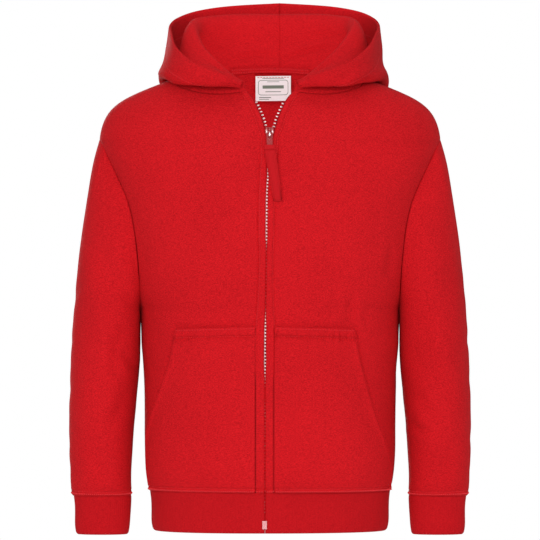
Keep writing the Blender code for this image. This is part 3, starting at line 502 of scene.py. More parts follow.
def hoodSection(share, side, neckLine):
    # Middle of the two layers from the neck seam over the crest and round the fold to the rim
    up = np.array([0.0, 0.0, 1.0])
    seam = alongLine(neckLine, share * lengthsAlong(neckLine)[-1])
    crest, fold, rim = (guide(share, name, side) for name in ("crest", "fold", "rim"))
    crestOut, foldOut = guideOut(share, "crest", side), guideOut(share, "fold", side)
    crestRound, foldRound = 0.62 * station(share, "crestRound"), station(share, "foldRound")
    clear = hoodThick / 2 + hoodClear
    base = seam - crestOut * hoodThick / 2 - up * 0.6
    crestIn = crest - (crestOut + up) * crestRound
    crestAway = crest + (crestOut - up) * crestRound
    foldIn = fold + (up - foldOut) * foldRound
    foldAway = fold + (up + foldOut) * foldRound
    bulge = station(share, "bulge")
    stand = (base + crestIn) / 2 + crestOut * 1.5 * (1 - math.exp(-share * 8))
    fall = (crestAway + foldIn) / 2
    lowSide = foldAway + (rim - foldAway) * 0.35 + foldOut * bulge
    highSide = foldAway + (rim - foldAway) * 0.7 + foldOut * bulge * 0.8
    chain = [base, stand, crestIn, crest, crestAway, fall, foldIn, fold, foldAway, lowSide, highSide, rim]
    chain = chain[:4] + [clearOfBody(point, clear) for point in chain[4:]]
    section = throughPoints(np.array(chain), 2)
    for i in range(9, len(section)):
        section[i] = clearOfBody(section[i], clear)
    return section


hoodShares = [0, 0.04, 0.09, 0.15, 0.22, 0.30, 0.38, 0.46, 0.53, 0.59, 0.65, 0.71, 0.78, 0.85, 0.92,
              1.0]


def hoodGrid(side):
    lines = splitNeck()
    neckLine = lines[0] if side < 0 else lines[1]
    middle = np.array([hoodSection(share, side, neckLine) for share in hoodShares])
    middle[-1, :, 0] = hoodShift + side * cloth["seamGap"] / 2
    return middle


# Fine grids of cloth
insideStep = 3           # spans of the outer face for each one of the inside


def spaced(length, runs):
    # Distances from 0 to length, from (end as a share, step) runs laid one after another
    stops = [0.0]
    for share, step in runs:
        end = share * length
        count = max(1, round((end - stops[-1]) / step))
        stops += list(np.linspace(stops[-1], end, count + 1)[1:])
    # The number of spans is one that the inside's coarser step divides
    spans = math.ceil((len(stops) - 1) / insideStep) * insideStep
    return np.interp(np.linspace(0, len(stops) - 1, spans + 1), range(len(stops)), stops)


def meanChords(grid, axis):
    # Mean distance of each row, or column, from the first one
    steps = np.linalg.norm(np.diff(grid, axis=axis), axis=2).mean(axis=1 - axis)
    return np.concatenate([[0], np.cumsum(steps)])


def normalsOf(grid, closed):
    along = np.gradient(grid, axis=0)
    if closed:
        around = np.roll(grid, -1, axis=1) - np.roll(grid, 1, axis=1)
    else:
        around = np.gradient(grid, axis=1)
    return unit(np.cross(around, along))


def fineCloth(coarse, rowRuns, columnRuns, closed=False, probe=None):
    # Smooth dense grid through a coarse one; probe tells which way its normals face
    rowKnots = meanChords(coarse, 0)
    rowStops = spaced(rowKnots[-1], rowRuns)
    lap = 4 if closed else 0
    wrapped = np.concatenate([coarse[:, -lap:], coarse, coarse[:, :lap + 1]], axis=1) if closed else coarse
    knots = meanChords(wrapped, 1)
    start, end = knots[lap], knots[lap + coarse.shape[1]] if closed else knots[-1]
    columnStops = spaced(end - start, columnRuns)
    at = start + (columnStops[:-1] if closed else columnStops)
    grid = np.einsum("cj,rjk->rck", splineWeights(knots, at), wrapped)
    grid = np.einsum("ri,ick->rck", splineWeights(rowKnots, rowStops), grid)
    normals = normalsOf(grid, closed)
    if probe is None:
        middle = grid.mean(axis=1, keepdims=True) if closed else grid * np.array([0, 0, 1])
        turned = np.sum((grid - middle) * normals) < 0
    else:
        turned = probe(grid, normals) < 0
    flip = -1.0 if turned else 1.0
    return {"points": grid, "base": grid.copy(), "normals": normals * flip, "flip": flip,
            "rows": rowStops, "columns": columnStops, "closed": closed}


def shapeBy(piece, lift):
    # Moves the outer face out by lift, and works its normals out again
    piece["points"] = piece["points"] + piece["normals"] * lift[..., None]
    piece["normals"] = normalsOf(piece["points"], piece["closed"]) * piece["flip"]


def fromEdge(piece, edge):
    # Distance of every point of the grid from one of its four edges, along the cloth
    axis = 0 if edge in ("top", "bottom") else 1
    steps = np.linalg.norm(np.diff(piece["base"], axis=axis), axis=2)
    run = np.insert(np.cumsum(steps, axis=axis), 0, 0.0, axis=axis)
    return run if edge in ("bottom", "first") else run.take([-1], axis=axis) - run


def acrossRows(piece):
    # How far round the cloth every point of the grid is
    shape = piece["points"].shape[:2]
    return np.broadcast_to(piece["columns"][:shape[1]], shape)


def alongRows(piece):
    return np.broadcast_to(piece["rows"][:, None], piece["points"].shape[:2])


def flatOf(piece):
    return piece["base"][:, :, [0, 2]]


def distanceTo(flat, path):
    # Distance of flat points (..., 2) from a broken line, and how far along it they are
    best = np.full(flat.shape[:-1], 1e9)
    along = np.zeros(flat.shape[:-1])
    run = 0.0
    for a, b in zip(path[:-1], path[1:]):
        a, b = np.array(a, float), np.array(b, float)
        length = np.linalg.norm(b - a)
        t = np.clip(((flat - a) @ (b - a)) / length**2, 0, 1)
        gap = np.linalg.norm(flat - a - t[..., None] * (b - a), axis=-1)
        nearer = gap < best
        best = np.where(nearer, gap, best)
        along = np.where(nearer, run + t * length, along)
        run += length
    return best, along, run


def creaseLift(flat, creases):
    # Soft troughs and ridges: each fades to nothing at its two ends
    lift = np.zeros(flat.shape[:-1])
    for path, width, depth in creases:
        bent = throughPoints(np.array([(x, z, 0.0) for x, z in path]), 4)[:, :2]
        gap, along, length = distanceTo(flat, bent)
        fade = np.sin(np.clip(along / length, 0, 1) * math.pi) ** 0.7
        core = bell(gap, width) - 0.35 * bell(gap - 1.9 * width, width)
        lift -= depth * fade * core
    return lift


def unevenWave(along, pitch, seed):
    # Gathering-like wave with crests of uneven height and spacing, about -1 to 1
    dice = np.random.default_rng(seed)
    wave = np.zeros_like(along)
    for k, share in ((1.0, 0.6), (0.63, 0.35), (1.57, 0.3), (0.31, 0.35)):
        wave += share * np.cos(2 * math.pi * along / pitch * k * (1 + 0.06 * dice.random())
                               + 2 * math.pi * dice.random())
    return wave / 1.3


def edgeRoll(gap, reach, drop):
    # The cloth turns down by drop within reach of an edge
    return -drop * np.clip(1 - gap / reach, 0, 1) ** 2


def rolled(piece, **edges):
    # Rolls at the edges named, each one's (reach, drop)
    return sum(edgeRoll(fromEdge(piece, edge), *roll) for edge, roll in edges.items())


def ridge(gap, height, at, width):
    # A rounded ridge, or a groove where height is below 0, at a distance from an edge
    return height * bell(gap - at, width)


def ribProfile(along, pitch, height):
    # Round ribs with narrow valleys between them
    return height * (np.abs(np.cos(math.pi * along / pitch)) ** 0.6 - 0.55)


# Meshes
def addObject(name, data):
    made = bpy.data.objects.new(name, data)
    bpy.context.scene.collection.objects.link(made)
    return made


def makePiece(name, points, faces, material, slot, body="garment", uv=None, sharp=70):
    mesh = bpy.data.meshes.new(name)
    mesh.from_pydata((np.asarray(points) * metresPerMm).tolist(), [], faces)
    if uv is not None:
        layer = mesh.uv_layers.new(name="cloth")
        corners = np.zeros(len(mesh.loops), np.int32)
        mesh.loops.foreach_get("vertex_index", corners)
        layer.data.foreach_set("uv", (np.asarray(uv) * metresPerMm)[corners].astype(np.float32).ravel())
    mesh.shade_smooth()
    mesh.set_sharp_from_angle(angle=math.radians(sharp))
    mesh.materials.append(material)
    piece = addObject(name, mesh)
    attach(piece, body)
    return piece


def gridFaces(rows, columns, closed, start=0):
    # Quads of a grid whose points are numbered from start
    c = np.arange(columns if closed else columns - 1)
    low = np.arange(rows - 1)[:, None] * columns
    after = (c + 1) % columns
    quads = np.stack([low + c, low + after, low + columns + after, low + columns + c], axis=-1)
    return (start + quads).reshape(-1, 4).tolist()


def shell(name, piece, wall, material, slot, node, flat, **sheet):
    # Thin closed shell: the fine outer face, a coarser inside and a rim between them
    outer, closed, step = piece["points"], piece["closed"], insideStep
    rows, columns = outer.shape[:2]
    inside = piece["base"] - normalsOf(piece["base"], closed) * piece["flip"] * wall
    for row in (0, -1):
        heights = piece["base"][row, :, 2]
        if np.ptp(heights) < 0.6:
            outer[row, :, 2] = inside[row, :, 2] = heights
    inside = inside[::step, ::step]
    innerRows, innerColumns = inside.shape[:2]
    start = rows * columns
    faces = gridFaces(rows, columns, closed)
    faces += [face[::-1] for face in gridFaces(innerRows, innerColumns, closed, start)]
    for c in range(innerColumns if closed else innerColumns - 1):
        d = (c + 1) % innerColumns
        near = [(c * step + k) % columns for k in range(step + 1)]
        faces.append(near[::-1] + [start + c, start + d])
        base, inBase = (rows - 1) * columns, start + (innerRows - 1) * innerColumns
        faces.append([base + i for i in near] + [inBase + d, inBase + c])
    for r in range(0 if closed else innerRows - 1):
        near = [(r * step + k) * columns for k in range(step + 1)]
        a, b = start + r * innerColumns, start + (r + 1) * innerColumns
        faces.append(near + [b, a])
        far = [i + columns - 1 for i in near]
        faces.append(far[::-1] + [a + innerColumns - 1, b + innerColumns - 1])
    if piece["flip"] > 0:
        faces = [face[::-1] for face in faces]
    outerUv = np.stack(np.meshgrid(piece["columns"][:columns], piece["rows"]), axis=-1)
    uv = np.concatenate([outerUv.reshape(-1, 2), outerUv[::step, ::step].reshape(-1, 2)])
    points = np.concatenate([outer.reshape(-1, 3), inside.reshape(-1, 3)])
    made = makePiece(name, points, faces, material, slot, uv=uv)
    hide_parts(node)


def onCloth(piece, row, column):
    # Points and normals of the outer face at places along its rows and columns
    r = np.interp(row, piece["rows"], range(len(piece["rows"])))
    c = np.interp(column, piece["columns"], range(len(piece["columns"])))
    count = piece["points"].shape[1]
    r0 = np.clip(r.astype(int), 0, piece["points"].shape[0] - 2)
    c0 = np.clip(c.astype(int), 0, None if piece["closed"] else count - 2)
    a, b = (r - r0)[:, None], (c - c0)[:, None]
    found = []
    for values in (piece["points"], piece["normals"]):
        low = values[r0, c0 % count] * (1 - b) + values[r0, (c0 + 1) % count] * b
        high = values[r0 + 1, c0 % count] * (1 - b) + values[r0 + 1, (c0 + 1) % count] * b
        found.append(low * (1 - a) + high * a)
    return found


sewing = {"pitch": 3.1, "length": 2.5, "thread": 0.32, "sink": 0.1}


def tubeFaces(rings, sides):
    # Quads between rings of points, and a flat face over each end
    faces = gridFaces(rings, sides, True)
    return faces + [list(reversed(range(sides))), list(range((rings - 1) * sides, rings * sides))]


def stitches(points, normals, pitch=sewing["pitch"], lean=0.0, thick=sewing["thread"]):
    # Thread segments along a line on the cloth, as one list of points and faces
    length = sewing["length"] * pitch / sewing["pitch"]
    total = lengthsAlong(points)[-1]
    count = max(2, int(total / pitch))
    at = (np.arange(count) + 0.5) * total / count
    place, out = alongLine(points, at), unit(alongLine(points, at, normals))
    way = unit(alongLine(points, at + 0.4) - alongLine(points, at - 0.4))
    way = unit(way + np.cross(out, way) * lean)
    aside = np.cross(out, way)
    rings, sides = ((-0.5, 0.35), (-0.3, 0.9), (0.0, 1.0), (0.3, 0.9), (0.5, 0.35)), 6
    made = []
    for along, size in rings:
        arch = (0.25 - along**2) * 1.6 - sewing["sink"]
        for k in range(sides):
            turn = 2 * math.pi * k / sides
            made.append(place + way * along * length + out * (arch + size * math.sin(turn)) * thick
                        + aside * size * thick * math.cos(turn))
    one = tubeFaces(len(rings), sides)
    faces = [[i + n * len(made) for i in face] for n in range(count) for face in one]
    return np.array(made).transpose(1, 0, 2).reshape(-1, 3), faces


def joined(parts):
    points, faces, start = [], [], 0
    for some, theirs in parts:
        points.append(some)
        faces += [tuple(i + start for i in face) for face in theirs]
        start += len(some)
    return np.concatenate(points), faces


def sewOn(name, runs, material, slot="fleece"):
    makePiece(name, *joined(runs), material, slot)


# Materials
def plug(tree, node, values):
    # Sets or links the inputs of a node
    for key, value in values.items():
        if isinstance(value, bpy.types.NodeSocket):
            tree.links.new(value, node.inputs[key])
        else:
            node.inputs[key].default_value = value


def addNode(tree, kind, values, **settings):
    node = tree.nodes.new("ShaderNode" + kind)
    for key, value in settings.items():
        setattr(node, key, value)
    plug(tree, node, values)
    return node


def maths(tree, operation, first, second=0.0, clamp=False):
    return addNode(tree, "Math", {0: first, 1: second}, operation=operation, use_clamp=clamp).outputs[0]


def weighted(tree, first, firstWeight, second, secondWeight, clamp=False):
    # Sum of two sockets, each times its weight
    return maths(tree, "ADD", maths(tree, "MULTIPLY", first, firstWeight),
                 maths(tree, "MULTIPLY", second, secondWeight), clamp)


def noise(tree, place, scale, detail, roughness=0.5):
    return addNode(tree, "TexNoise", {"Vector": place, "Scale": scale, "Detail": detail,
                                      "Roughness": roughness}).outputs["Fac"]


def ranged(tree, value, fromMin, fromMax, toMin=0.0, toMax=1.0):
    return addNode(tree, "MapRange", {"Value": value, "From Min": fromMin, "From Max": fromMax,
                                      "To Min": toMin, "To Max": toMax}).outputs[0]


def blend(tree, share, first, second):
    mixed = addNode(tree, "Mix", {}, data_type="RGBA")
    for name, socket in (("Factor", share), ("A", first), ("B", second)):
        tree.links.new(socket, mixed.inputs[name])
    return mixed.outputs["Result"]


def newGroup(name, takes, gives):
    # A shared effect: its inputs with their values, and what it gives
    group = bpy.data.node_groups.new(name, "ShaderNodeTree")
    for label, value in takes.items():
        kind = "NodeSocketColor" if isinstance(value, tuple) else "NodeSocketFloat"
        group.interface.new_socket(name=label, in_out="INPUT", socket_type=kind).default_value = value
    for label in gives:
        kind = "NodeSocketColor" if label == "Colour" else "NodeSocketFloat"
        group.interface.new_socket(name=label, in_out="OUTPUT", socket_type=kind)
    return group, group.nodes.new("NodeGroupInput").outputs, group.nodes.new("NodeGroupOutput")


def onObject(tree):
    return tree.nodes.new("ShaderNodeTexCoord").outputs["Object"]


def grainGroup():
    # Brushed cotton: soft uneven dye, heathered grain drawn out sideways, and fuzz
    group, takes, gives = newGroup("clothGrain", {
        "Colour": (0.6, 0.02, 0.03, 1), "Shade": (0.4, 0.01, 0.02, 1), "Grain": 0.3, "Cloud": 0.1},
        ("Colour", "Roughness", "Fuzz"))
    place = onObject(group)
    drawn = addNode(group, "Mapping", {"Vector": place, "Scale": (1.0, 1.0, 3.2)}).outputs[0]
    fibres = noise(group, drawn, 600.0, 4.0, 0.7)
    fuzz = noise(group, place, 1500.0, 2.0, 0.6)
    cloud = noise(group, place, 14.0, 2.0)
    share = weighted(group, ranged(group, fibres, 0.45, 0.58), takes["Grain"],
                     ranged(group, cloud, 0.35, 0.65), takes["Cloud"], clamp=True)
    plug(group, gives, {"Colour": blend(group, share, takes["Colour"], takes["Shade"]),
                        "Roughness": ranged(group, fuzz, 0.0, 1.0, 0.82, 0.98),
                        "Fuzz": weighted(group, fibres, 0.6, fuzz, 0.5)})
    return group


def knitGroup():
    # Face of a plain knit: columns of small V stitches, on the cloth's own UV in metres
    group, takes, gives = newGroup("knitLoops", {"Wale": 0.0011, "Course": 0.0008}, ("Height",))
    uv = addNode(group, "UVMap", {}, uv_map="cloth").outputs[0]
    parts = addNode(group, "SeparateXYZ", {0: uv}).outputs
    across = maths(group, "FRACT", maths(group, "DIVIDE", parts["X"], takes["Wale"]))
    along = maths(group, "DIVIDE", parts["Y"], takes["Course"])
    fromMiddle = maths(group, "ABSOLUTE", maths(group, "SUBTRACT", across, 0.5))
    slanted = weighted(group, along, 1.0, fromMiddle, 1.3)
    loops, columns = (maths(group, "SINE", maths(group, "MULTIPLY", value, 2 * math.pi))
                      for value in (slanted, fromMiddle))
    plug(group, gives, {"Height": weighted(group, loops, 0.25, columns, 0.6)})
    return group


def weaveGroup():
    # Twill tape: fine diagonal ridges that change direction down the middle
    group, takes, gives = newGroup("tapeWeave", {"Pitch": 0.0009}, ("Height",))
    parts = addNode(group, "SeparateXYZ", {0: onObject(group)}).outputs
    slanted = maths(group, "ADD", maths(group, "ABSOLUTE", parts["X"]), parts["Z"])
    ridges, rows = (
        maths(group, "SINE", maths(group, "MULTIPLY", maths(group, "DIVIDE", value, takes["Pitch"]), turn))
        for value, turn in ((slanted, 2 * math.pi), (parts["Z"], 4 * math.pi)))
    plug(group, gives, {"Height": weighted(group, ridges, 1.0, rows, 0.4)})
    return group


def wearGroup():
    # Moulded or painted surface: faint unevenness and paler rubbed spots
    group, takes, gives = newGroup("rubbedGloss", {
        "Colour": (0.5, 0.02, 0.03, 1), "Rubbed Colour": (0.8, 0.1, 0.1, 1), "Wear": 0.2,
        "Smooth": 0.2, "Rough": 0.35}, ("Colour", "Roughness", "Height"))
    spots = noise(group, onObject(group), 900.0, 3.0)
    share = ranged(group, spots, 0.5, 0.75, 0.0, takes["Wear"])
    plug(group, gives, {"Colour": blend(group, share, takes["Colour"], takes["Rubbed Colour"]),
                        "Roughness": ranged(group, spots, 0.0, 1.0, takes["Smooth"], takes["Rough"]),
                        "Height": spots})
    return group


grain, knit, weave, worn = grainGroup(), knitGroup(), weaveGroup(), wearGroup()


def newMaterial(name, values):
    material = bpy.data.materials.new(name)
    material.use_nodes = True
    tree = material.node_tree
    plug(tree, tree.nodes["Principled BSDF"], values)
    return material, tree


def groupIn(tree, group, values):
    return addNode(tree, "Group", values, node_tree=group).outputs


def surfaceOf(tree, values, height, strength, distance):
    # Links colour, roughness and relief to the material's shader
    bump = addNode(tree, "Bump", {"Height": height, "Strength": strength, "Distance": distance})
    plug(tree, tree.nodes["Principled BSDF"], {**values, "Normal": bump.outputs[0]})


def clothMaterial(name, look):
    material, tree = newMaterial(name, {
        "Sheen Weight": look["sheen"], "Sheen Roughness": 0.45, "Sheen Tint": look["sheenTint"],
        "Specular IOR Level": look["specular"]})
    dyed = groupIn(tree, grain, {"Colour": (*look["colour"], 1), "Shade": (*look["shade"], 1),
                                 "Grain": look["grain"], "Cloud": look["cloud"]})
    loops = groupIn(tree, knit, {"Wale": look["wale"], "Course": look["course"]})
    height = weighted(tree, loops["Height"], look["knit"], dyed["Fuzz"], 1.0)
    surfaceOf(tree, {"Base Color": dyed["Colour"], "Roughness": dyed["Roughness"]}, height,
              look["bump"], 0.0004)
    return material


fleeceLook = {"colour": (0.72, 0.0098, 0.0155), "shade": (0.42, 0.0030, 0.007), "grain": 0.85,
              "cloud": 0.12, "wale": 0.0011, "course": 0.0008, "knit": 0.3, "bump": 0.8,
              "sheen": 0.03, "sheenTint": (1.0, 0.25, 0.25, 1), "specular": 0.12}
threadLook = {**fleeceLook, "colour": (0.74, 0.020, 0.030), "grain": 0.15, "knit": 0.0, "bump": 0.2,
              "specular": 0.4}
fleece = clothMaterial("brushedFleece", fleeceLook)
rib = clothMaterial("ribKnit", {**fleeceLook, "colour": (0.58, 0.0070, 0.0118),
                                "shade": (0.42, 0.003, 0.007), "wale": 0.0024, "knit": 0.15})
# The lining is the same fleece, coloured a little lighter than the outside as painted light for the shaded
# hollow of the hood
lining = clothMaterial("liningPaintedLighter", {**fleeceLook, "colour": (0.74, 0.0100, 0.0158),
                                      "shade": (0.50, 0.0038, 0.0085)})
thread = clothMaterial("sewingThread", threadLook)
ridgeThread = clothMaterial("coverThread", {**threadLook, "colour": (0.92, 0.055, 0.068), "grain": 0.1})


def tapeMaterial(name, colour, roughness, pitch, strength):
    material, tree = newMaterial(name, {"Roughness": roughness, "Sheen Weight": 0.02,
                                        "Specular IOR Level": 0.12})
    dyed = groupIn(tree, grain, {"Colour": (*colour, 1), "Shade": (*[c * 0.85 for c in colour], 1),
                                 "Grain": 0.3})
    ridges = groupIn(tree, weave, {"Pitch": pitch})
    surfaceOf(tree, {"Base Color": dyed["Colour"]}, ridges["Height"], strength, 0.0003)
    return material


zipTape = tapeMaterial("zipTapeWeave", (0.45, 0.008, 0.013), 0.8, 0.0009, 0.5)
pullTape = tapeMaterial("pullTapeWeave", (0.74, 0.010, 0.017), 0.85, 0.0012, 0.8)
labelCloth = tapeMaterial("labelSatin", (1.0, 0.95, 0.96), 0.5, 0.0005, 0.15)
labelPrint = tapeMaterial("labelPrint", (0.20, 0.24, 0.19), 0.7, 0.0005, 0.2)


def glossMaterial(name, colour, roughness, coat, wear):
    material, tree = newMaterial(name, {"Coat Weight": coat, "Coat Roughness": 0.24, "Coat IOR": 2.6})
    rubbed = [min(c * 1.5 + 0.05, 0.8) for c in colour]
    painted = groupIn(tree, worn, {"Colour": (*colour, 1), "Rubbed Colour": (*rubbed, 1), "Wear": wear,
                                   "Smooth": roughness - 0.05, "Rough": roughness + 0.1})
    surfaceOf(tree, {"Base Color": painted["Colour"], "Roughness": painted["Roughness"]},
              painted["Height"], 0.08, 0.0002)
    return material


# The teeth are red moulded plastic; their near-white pink colour is a painted highlight for the glints on
# their heads
glintPaintedTeeth = glossMaterial("teethWithPaintedGlints", (1.0, 0.80, 0.80), 0.25, 1.0, 0.3)
# The bottom box is coloured a paler pink than the zip's red paint: a painted highlight for the white glint
# on it
glintPaintedBox = glossMaterial("boxWithPaintedGlint", (0.80, 0.26, 0.28), 0.2, 0.8, 0.35)
paintGloss = glossMaterial("paintedMetal", (0.46, 0.004, 0.008), 0.25, 1.0, 0.1)
print("materials made")


# Fronts and back
welt = {"narrow": 7.0, "wide": 9.6, "height": 1.4, "groove": 1.2, "grooveWidth": 1.2}
# Ridges and grooves are (height, distance from the edge, width), rolls are (reach, drop)
seamForm = {"ridge": (0.8, 3.0, 1.2), "dip": (-1.0, 5.6, 1.2), "roll": (2.4, 1.3)}
puckers = {"pitch": 3.2, "reach": 5.5, "height": 1.9}
rolls = {"seam": (2.2, 0.8), "neck": (2.2, 0.9), "placket": (2.4, 1.9)}
frontCreases = {
    1: [(((92, -228), (89, -246), (87, -268)), 5.5, 2.4),
        (((135, -174), (132, -194), (128, -216)), 5.0, 1.7),
        (((70, -215), (76, -236), (80, -262)), 9.0, 1.0),
        (((118, -60), (96, -78), (84, -104)), 13.0, 1.0),
        (((136, -262), (120, -282), (112, -300)), 9.0, 0.9),
        (((60, -180), (66, -215), (62, -250)), 16.0, 0.7),
        (((128, -330), (131, -372), (127, -410)), 8.0, 0.9)],
    -1: [(((-120, -64), (-98, -80), (-88, -108)), 13.0, 1.0),
         (((-140, -150), (-141, -178), (-136, -205)), 6.0, 0.9),
         (((-137, -258), (-124, -276), (-117, -292)), 8.0, 0.8),
         (((-55, -175), (-62, -212), (-58, -246)), 16.0, 0.7),
         (((-129, -322), (-131, -366), (-128, -402)), 8.0, 0.8)],
}
backCreases = [
    (((-124, -66), (-104, -110), (-108, -164)), 13.0, 2.8),
    (((120, -62), (98, -102), (103, -152)), 14.0, 2.5),
    (((-138, -236), (-104, -284), (-84, -346)), 11.0, 3.0),
    (((140, -232), (112, -272), (95, -334)), 11.0, 2.6),
    (((-134, -286), (-112, -330), (-106, -380)), 9.0, 1.8),
    (((136, -300), (118, -338), (108, -392)), 9.0, 1.9),
    (((-30, -150), (-38, -230), (-27, -304)), 16.0, 1.8),
    (((42, -186), (53, -268), (43, -352)), 17.0, 2.0),
    (((-72, -352), (-63, -396), (-73, -438)), 8.0, 1.7),
    (((88, -366), (79, -402), (86, -440)), 8.0, 1.7),
    (((6, -372), (2, -406), (10, -438)), 9.0, 1.2)]


def seamLift(gap, along, seed, share=1.0):
    # A rounded ridge on the seam, a dip behind it, and puckers that fade away from it
    wave = unevenWave(along, puckers["pitch"], seed)
    fade = np.exp(-gap / puckers["reach"]) * smoothStep(gap, 3.4, 5.0)
    lift = ridge(gap, *seamForm["ridge"]) + ridge(gap, *seamForm["dip"]) + puckers["height"] * wave * fade
    return share * lift + edgeRoll(gap, *seamForm["roll"])


def hemLift(piece, seed):
    return seamLift(fromEdge(piece, "bottom"), acrossRows(piece), seed)


def besidePocket(piece, side):
    # The body sinks a little just outside a pocket's hand opening and along its top
    flat = flatOf(piece)
    across, height = side * flat[:, :, 0], flat[:, :, 1]
    corner = pocketEdges[side]["across"][-1]
    level = smoothStep(height, -412, -396) * (1 - smoothStep(height, -272, -266))
    lift = -1.9 * level * bell(across - smooth(pocketEdges[side], "across", height) - 1.2, 2.2)
    over = (1 - smoothStep(across, corner, corner + 6)) * smoothStep(across, 4, 14)
    rise = pocketForm["topRise"] * (0.5 - across / corner)
    return lift - 1.6 * over * bell(height - pocketForm["top"] - rise - 1.8, 2.0)


def weltWidth(height):
    # The placket's turned edge is narrower over the chest than between the pockets
    return welt["narrow"] + (welt["wide"] - welt["narrow"]) * smoothStep(-height, 200, 290)


def opened(height):
    # 1 where the teeth show between the plackets, 0 where the plackets meet
    return smoothStep(edgeAcross(height), 0.8, 1.9)


def lapTeeth(piece, edge, side, height):
    # Moves a placket over the teeth: further on the wearer's right
    lap = 1.1 + 0.2 * opened(height) if side < 0 else 0.3 + 0.3 * opened(height)
    shift = -side * lap * smoothStep(-height, 66, 84) * bell(fromEdge(piece, edge), 4.0)
    piece["points"][:, :, 0] += shift
    piece["base"][:, :, 0] += shift


def makeFront(side):
    piece = fineCloth(panelGrid(side, False, 13),
                      [(0.035, 1.1), (0.98, 3.1), (1.0, 1.2)], [(0.075, 0.8), (0.97, 1.9), (1.0, 0.9)])
    flat, height = flatOf(piece), piece["base"][:, :, 2]
    gap = np.minimum(fromEdge(piece, "first"), distanceTo(flat, flat[::2, 0])[0] + 0.5)
    width = weltWidth(height)
    lift = welt["height"] * (1 - smoothStep(gap, width - 1.6, width + 0.4))
    lift -= welt["groove"] * bell(gap - width, welt["grooveWidth"])
    reach, drop = rolls["placket"]
    lift += edgeRoll(gap, reach, drop - 0.5 * opened(height))
    lift += 0.12 * unevenWave(alongRows(piece), 5.0, 3 + side) * bell(gap - width, 3.5)
    lift += hemLift(piece, 11 + side) + besidePocket(piece, side)
    lift += rolled(piece, last=rolls["seam"]) * (1 - 0.5 * smoothStep(height, -75, -40))
    lift += rolled(piece, top=rolls["neck"])
    shapeBy(piece, lift + creaseLift(flat, frontCreases[side]))
    lapTeeth(piece, "first", side, height)
    shell("fleece_front_" + sideNames[side], piece, cloth["fleece"], fleece, "fleece",
          "front_" + sideNames[side], (0.205, 0.475), area=0.088, rests_on=["fleece_back"])
    return piece


def makeBack():
    left, right = panelGrid(1, True, 12), panelGrid(-1, True, 12)
    coarse = np.concatenate([right[:, ::-1], left[:, 1:]], axis=1)
    piece = fineCloth(coarse, [(0.035, 1.1), (0.98, 3.4), (1.0, 1.2)],
                      [(0.015, 0.9), (0.985, 2.1), (1.0, 0.9)])
    lift = hemLift(piece, 17) + rolled(piece, first=rolls["seam"], last=rolls["seam"], top=rolls["neck"])
    shapeBy(piece, lift + creaseLift(flatOf(piece), backCreases))
    shell("fleece_back", piece, cloth["fleece"], fleece, "fleece", "back", (0.395, 0.48), area=0.177)
    return piece


fronts = {side: makeFront(side) for side in (1, -1)}
backPanel = makeBack()
print("fronts and back made")


# Sleeves and cuffs
# Places on a sleeve: along it in mm from the armhole, and round it as a share from the outer side
sleeveCreases = {
    1: [(((172, -246), (165, -275), (163, -300), (169, -330)), 11.0, 1.8),
        (((160, -268), (176, -310), (194, -366)), 11.0, 1.9),
        (((154, -372), (163, -380), (175, -384)), 4.5, 1.8),
        (((158, -336), (168, -352), (184, -372)), 7.0, 1.6),
        (((200, -405), (190, -426), (186, -446)), 8.0, 1.6),
        (((205, -190), (196, -225), (199, -260)), 12.0, 1.6)],
    -1: [(((-188, -172), (-180, -205), (-163, -250)), 10.0, 2.8),
         (((-167, -214), (-156, -234), (-145, -254)), 7.0, 2.4),
         (((-163, -296), (-153, -309), (-146, -320)), 4.5, 1.8),
         (((-158, -262), (-168, -292), (-172, -330)), 8.0, 2.0),
         (((-157, -336), (-166, -360), (-178, -384)), 7.0, 1.8),
         (((-196, -392), (-186, -416), (-180, -446)), 9.0, 1.6),
         (((-206, -240), (-198, -280), (-202, -320)), 12.0, 1.6)],
}
sleeveBackCreases = {
    1: [(((150, -215), (172, -250), (196, -268)), 9.0, 3.0),
        (((205, -250), (180, -272), (160, -300)), 8.0, 2.6),
        (((160, -330), (178, -352), (202, -360)), 8.0, 2.4),
        (((208, -395), (190, -416), (176, -430)), 7.0, 1.8)],
    -1: [(((-150, -225), (-174, -252), (-198, -262)), 8.0, 2.8),
         (((-206, -262), (-182, -284), (-160, -306)), 9.0, 2.7),
         (((-158, -340), (-180, -356), (-204, -372)), 8.0, 2.2),
         (((-206, -404), (-188, -422), (-174, -438)), 7.0, 1.7)],
}
# Places on a sleeve's outer side, seen from that side: depth and height
sleeveSideCreases = {
    1: [(((-44, -150), (-20, -186), (-14, -226)), 11.0, 2.0),
        (((40, -196), (16, -222), (-18, -230)), 8.0, 2.2),
        (((-42, -262), (-12, -284), (24, -280)), 7.0, 2.6),
        (((38, -312), (8, -330), (-26, -322)), 8.0, 2.3),
        (((-34, -372), (-10, -392), (16, -388)), 7.0, 2.0),
        (((20, -416), (2, -430), (-18, -426)), 6.0, 1.4)],
    -1: [(((42, -142), (18, -180), (14, -220)), 11.0, 2.0),
         (((-42, -212), (-14, -236), (20, -238)), 8.0, 2.3),
         (((40, -258), (10, -282), (-22, -288)), 7.0, 2.6),
         (((-36, -326), (-6, -340), (26, -334)), 8.0, 2.2),
         (((30, -380), (6, -396), (-20, -398)), 7.0, 1.9),
         (((-24, -414), (-4, -428), (14, -432)), 6.0, 1.4)],
}


